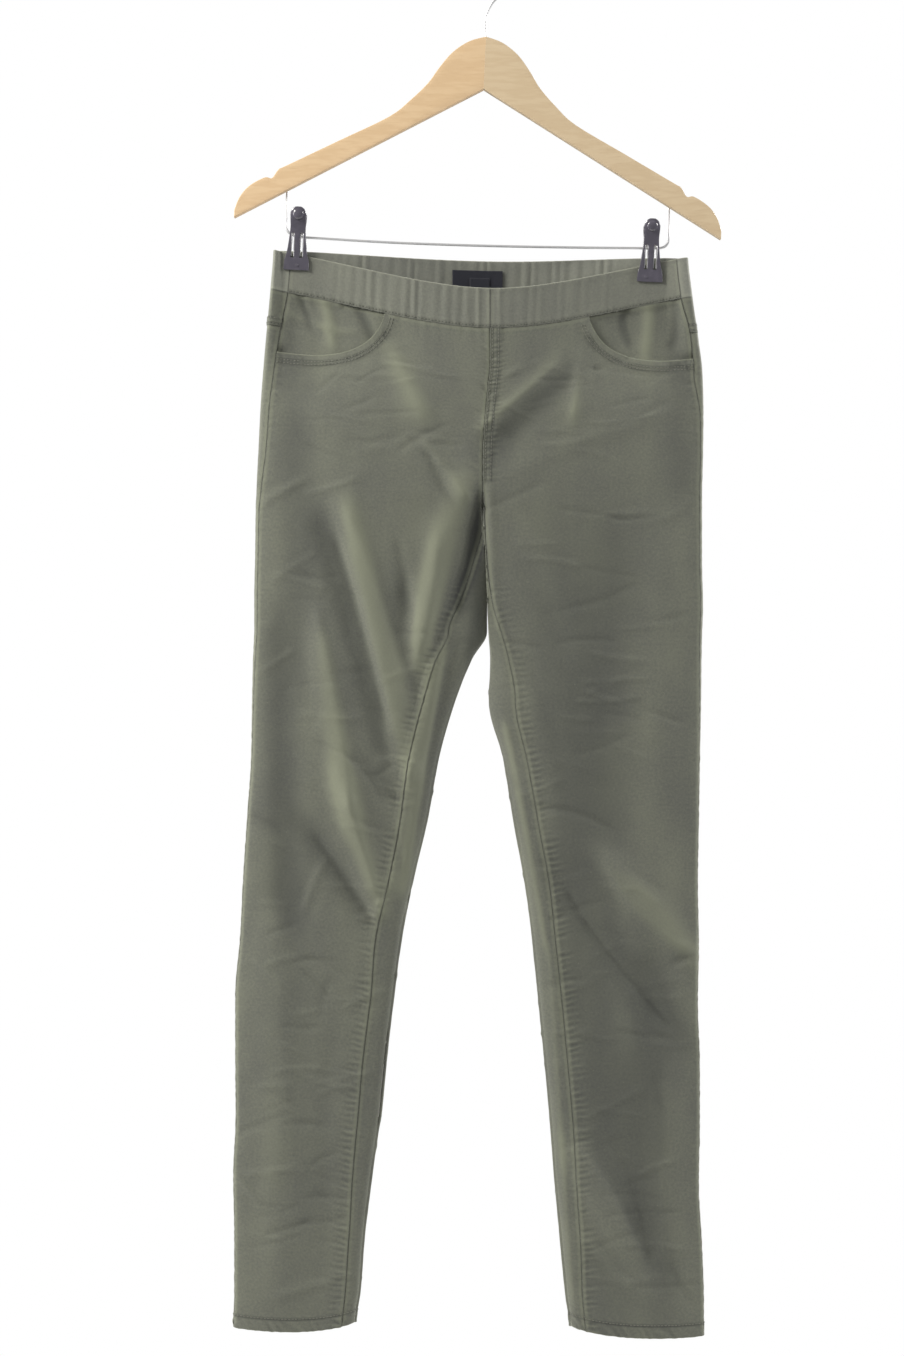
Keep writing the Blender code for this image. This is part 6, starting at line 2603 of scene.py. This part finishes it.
@dataclass
class Clip:
    """One clip on the bar: two moulded levers and the spring between them."""

    side: Side
    finishes: Finishes
    middle_y: float = -0.65
    wall: float = 1.6
    jaw_half_gap: float = 2.65
    slot_inner: float = 2.4
    slot_outer: float = 5.7
    stud_radius: float = 1.5
    spring_wall: float = 0.6
    spring_half_width: float = 1.5
    loop_radius: float = 0.45
    grip_radius: float = 7.3
    grip_lean: float = 1.05  # how far the grip's round end leans out
    crown: float = 1.5  # how far the grip bulges
    crown_foot: float = 8.0
    crown_rise: float = 12.0
    pad_radius: float = 4.9
    pad_height: float = 2.0
    stud_height: float = 0.9
    stud_drop: float = 26.6
    rim: float = 0.35  # rounding of the moulded edges
    slot_middle: float = 4.05
    # Height above the bar, half width and distance of the inner face from the middle. The round
    # end of the grip stands on the first row, and the slots lie between two others.
    LEVER_ROWS = (
        (19.1, 7.3, 7.55), (16.0, 7.2, 7.1), (9.0, 6.6, 6.0), (2.3, 7.0, 5.0), (-5.0, 7.8, 4.5),
        (-12.0, 8.7, 3.5), (-19.6, 10.2, 2.65), (-22.0, 11.3, 2.65), (-31.0, 11.7, 2.65),
    )
    SLOT_TOP, SLOT_FOOT = 2.3, -19.6
    END_TURNS = (70.0, 55.0, 40.0, 25.0, 10.0)
    CROWN = np.array([0.0, 0.55, 1.0, 1.0, 0.55, 0.0])  # its share at each column of a lever
    STUD_X = {Side.RIGHT: 0.6, Side.LEFT: -3.6}
    # Half of the spring's strip: distance from the middle and height above the bar.
    SPRING = ((3.0, -11.0), (3.25, -8.0), (3.3, -4.0), (2.9, -0.8), (2.2, 0.9), (1.2, 1.95), (0.0, 2.3))
    # A wire loop: x from the slot's middle, distance from the clip's middle, height above the bar.
    LOOP = (
        (-1.25, 3.1, -18.5), (-1.25, 3.5, -10.0), (-1.2, 4.2, 0.5), (0.0, 4.4, 2.0),
        (1.2, 4.2, 0.5), (1.25, 3.5, -10.0), (1.25, 3.1, -18.5),
    )

    def build(self) -> None:
        """Builds the levers and the spring."""
        for face in Face:
            self.lever(face)
        self.spring()

    def place(self, points: Array) -> Array:
        """Turns places in the clip's own frame, whose origin lies on the bar, into the hanger's.

        Args:
            points: Places in millimetres.

        Returns:
            Places in metres.
        """
        x, z = CLIP_PLACES[self.side]
        cosine, sine = math.cos(Hanger.tilt), math.sin(Hanger.tilt)
        turned_x = points[..., 0] * cosine + points[..., 2] * sine + x
        turned_z = points[..., 2] * cosine - points[..., 0] * sine + z
        return np.stack([turned_x, points[..., 1] + self.middle_y, turned_z], axis=-1) * MM

    def _own(self, place: Vector) -> tuple[float, float]:
        """Gives a place's x and height in the clip's own frame.

        Args:
            place: The place, in metres.

        Returns:
            Its x and its height above the bar, in millimetres.
        """
        x0, z0 = CLIP_PLACES[self.side]
        x, z = place.x / MM - x0, place.z / MM - z0
        cosine, sine = math.cos(Hanger.tilt), math.sin(Hanger.tilt)
        return x * cosine - z * sine, z * cosine + x * sine

    def _lever_rows(self, sign: float) -> Array:
        """Gives the places of a lever's outer face, from its round end down to the jaw.

        Args:
            sign: -1 for the front lever and 1 for the back one.

        Returns:
            Places in the clip's own frame, by row and column.
        """
        table = np.array(self.LEVER_ROWS)
        level, _, depth = table[0]
        finer = [
            (level + self.grip_radius * math.sin(turn), self.grip_radius * math.cos(turn),
             depth + self.grip_lean * math.sin(turn))
            for turn in np.radians(self.END_TURNS)
        ]
        for upper, lower in zip(table, table[1:]):
            finer += [upper, upper + (lower - upper) * 0.5]
        finer.append(table[-1])
        rows = []
        for height, half, inner in finer:
            outer_slot = min(self.slot_outer, 0.8 * half)
            inner_slot = min(self.slot_inner, 0.35 * half)
            xs = np.array([-half, -outer_slot, -inner_slot, inner_slot, outer_slot, half])
            crown = self.crown * smooth((height - self.crown_foot) / self.crown_rise) * self.CROWN
            crown = crown * min(1.0, half / 6.0)
            rows.append(np.stack([xs, sign * (inner + self.wall + crown), np.full(6, height)], axis=-1))
        return np.array(rows)

    def lever(self, face: Face) -> None:
        """Builds one lever: a grip with its thumb pad, two slots, and a wide jaw with its stud.

        Args:
            face: Which face.
        """
        sign = -1.0 if face is Face.FRONT else 1.0
        node = f"clip_{self.side.value}_{face.value}_lever"
        piece = HardPiece(f"{node}_moulded", self.finishes.moulded)
        piece.grid(self.place(self._lever_rows(sign)))

        def in_slot(centre: Vector, _: Vector) -> bool:
            """Tells whether a face lies in a slot.

            Args:
                centre: The face's middle.
                _: Its normal, which is not used.

            Returns:
                Whether it does.
            """
            x, height = self._own(centre)
            beside = self.slot_inner * 0.6 < abs(x) < self.slot_outer
            return beside and self.SLOT_FOOT < height < self.SLOT_TOP

        piece.edit()
        piece.pick_faces(in_slot)
        bpy.ops.mesh.delete(type="FACE")
        piece.thicken(-sign * self.wall * MM)
        piece.leave()
        piece.ease(self.rim)
        piece.modify("SUBSURF", levels=2, render_levels=2)
        piece.join([self._stud(sign), self._pad(sign)])
        piece.done(node)

    def _stud(self, sign: float) -> HardPiece:
        """Makes the stud that closes the jaw's rivet.

        Args:
            sign: -1 for the front lever and 1 for the back one.

        Returns:
            The stud.
        """
        stud = HardPiece("stud", self.finishes.moulded)
        stud.cylinder(self.stud_radius * MM, self.stud_height * MM, 24)
        stud.ease(self.rim, segments=3)
        stud.item.rotation_euler = (math.radians(90.0), 0.0, 0.0)
        out = sign * (self.jaw_half_gap + self.wall + 0.1)
        stud.item.location = Vector(self.place(np.array([self.STUD_X[self.side], out, -self.stud_drop])))
        return stud

    def _pad(self, sign: float) -> HardPiece:
        """Makes the round pad for the thumb, at the middle of the grip's round end.

        Args:
            sign: -1 for the front lever and 1 for the back one.

        Returns:
            The pad.
        """
        level, _, depth = self.LEVER_ROWS[0]
        pad = HardPiece("pad", self.finishes.moulded)
        pad.ball(self.pad_radius * MM, self.pad_height / self.pad_radius)
        pad.item.rotation_euler = (-sign * math.atan(self.grip_lean / self.grip_radius), 0.0, 0.0)
        out = sign * (depth + self.wall + self.crown - 0.1)
        pad.item.location = Vector(self.place(np.array([0.0, out, level])))
        return pad

    def spring(self) -> None:
        """Builds the spring: a strip over the bar, and a wire loop behind each slot."""
        route = [(-out, height) for out, height in self.SPRING]
        route = smooth_route(route + [(out, height) for out, height in reversed(self.SPRING[:-1])], 48)
        xs = np.array([-self.spring_half_width, 0.0, self.spring_half_width])
        rows = np.stack([np.tile(xs, (len(route), 1)), np.repeat(route[:, :1], 3, axis=1),
                         np.repeat(route[:, 1:], 3, axis=1)], axis=-1)
        piece = HardPiece(f"clip_{self.side.value}_spring_steel", self.finishes.wire)
        piece.grid(self.place(rows))
        piece.modify("SOLIDIFY", thickness=self.spring_wall * MM, offset=0.0)
        piece.ease(0.12)
        piece.join([self._loop(sign, middle) for sign in (-1.0, 1.0)
                    for middle in (-self.slot_middle, self.slot_middle)])
        piece.done(f"clip_{self.side.value}_spring")

    def _loop(self, sign: float, middle: float) -> HardPiece:
        """Makes the wire loop behind one slot.

        Args:
            sign: -1 for the front side and 1 for the back.
            middle: The x of the slot's middle.

        Returns:
            The loop.
        """
        loop = HardPiece("loop", self.finishes.wire)
        route = smooth_route([(middle + x, sign * out, height) for x, out, height in self.LOOP], 36)
        loop.wire(self.place(route), self.loop_radius * MM, 2)
        return loop


# --- the studio -------------------------------------------------------------------------------


@dataclass
class Studio:
    """The pale floor, the soft light and the camera at the photograph's place."""

    finishes: Finishes
    view_x: float = -0.031
    view_z: float = -0.6607
    frame_height: float = 1.234
    distance: float = 3.0
    floor_z: float = -1.75
    floor_radius: float = 2.2
    daylight: float = 0.34  # how brightly the white surround lights the garment
    lamp_size: float = 0.8
    # Each lamp's name, place, power in watts and tint.
    LAMPS = (
        ("key_light", (-2.0, -0.9, 0.95), 90.0, (1.0, 0.985, 0.92)),
        ("side_light", (2.2, -0.3, 0.3), 44.0, (1.0, 0.99, 0.97)),
        ("fill_light", (-2.2, -0.25, -0.2), 20.0, (1.0, 0.99, 0.97)),
        ("back_light", (1.8, 1.9, 0.7), 64.0, (1.0, 0.99, 0.95)),
    )

    def build(self) -> None:
        """Sets the floor, the light and the camera."""
        bpy.context.scene.view_settings.view_transform = "Standard"
        select_none()
        bpy.ops.mesh.primitive_circle_add(vertices=96, radius=self.floor_radius, fill_type="NGON",
                                          location=(0.0, 0.0, self.floor_z))
        floor = bpy.context.object
        floor.name = "studio_floor"
        bpy.ops.object.transform_apply(location=True, rotation=True, scale=True)
        floor.data.materials.append(self.finishes.floor)
        self._world()
        for lamp in self.LAMPS:
            self._lamp(*lamp)
        data = bpy.data.cameras.new("photograph_camera")
        data.sensor_width = 36.0
        data.lens = data.sensor_width * self.distance / self.frame_height
        camera = bpy.data.objects.new("photograph_camera", data)
        camera.location = (self.view_x, -self.distance, self.view_z)
        camera.rotation_euler = (math.radians(90.0), 0.0, 0.0)
        bpy.context.scene.collection.objects.link(camera)
        bpy.context.scene.camera = camera

    def _world(self) -> None:
        """Surrounds the studio with white that lights the garment softly."""
        world = bpy.data.worlds.new("studio")
        world.use_nodes = True
        nodes, links = world.node_tree.nodes, world.node_tree.links
        background = nodes["Background"]
        background.inputs["Color"].default_value = (1.0, 1.0, 1.0, 1.0)
        path = nodes.new("ShaderNodeLightPath")
        level = nodes.new("ShaderNodeMapRange")
        level.inputs["To Min"].default_value = self.daylight
        links.new(path.outputs["Is Camera Ray"], level.inputs["Value"])
        links.new(level.outputs["Result"], background.inputs["Strength"])
        bpy.context.scene.world = world

    def _lamp(self, name: str, place: tuple[float, float, float], power: float,
              colour: tuple[float, float, float]) -> None:
        """Adds a soft area light that faces the garment.

        Args:
            name: Its name.
            place: Where it stands.
            power: Its power in watts.
            colour: Its tint.
        """
        data = bpy.data.lights.new(name, "AREA")
        data.color = colour
        data.shape = "SQUARE"
        data.size = self.lamp_size
        data.energy = power
        lamp = bpy.data.objects.new(name, data)
        lamp.location = place
        aim = Vector((0.0, 0.0, self.view_z)) - Vector(place)
        lamp.rotation_euler = aim.to_track_quat("-Z", "Y").to_euler()
        bpy.context.scene.collection.objects.link(lamp)


def main() -> None:
    """Builds the jeans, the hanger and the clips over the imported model."""
    logging.basicConfig(level=logging.INFO, format="%(name)s: %(message)s")
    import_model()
    finishes = Finishes()
    Studio(finishes).build()
    Hanger(finishes).build()
    for side in Side:
        Clip(side, finishes).build()
    Jeans(finishes).dress()


if __name__ == "__main__":
    main()
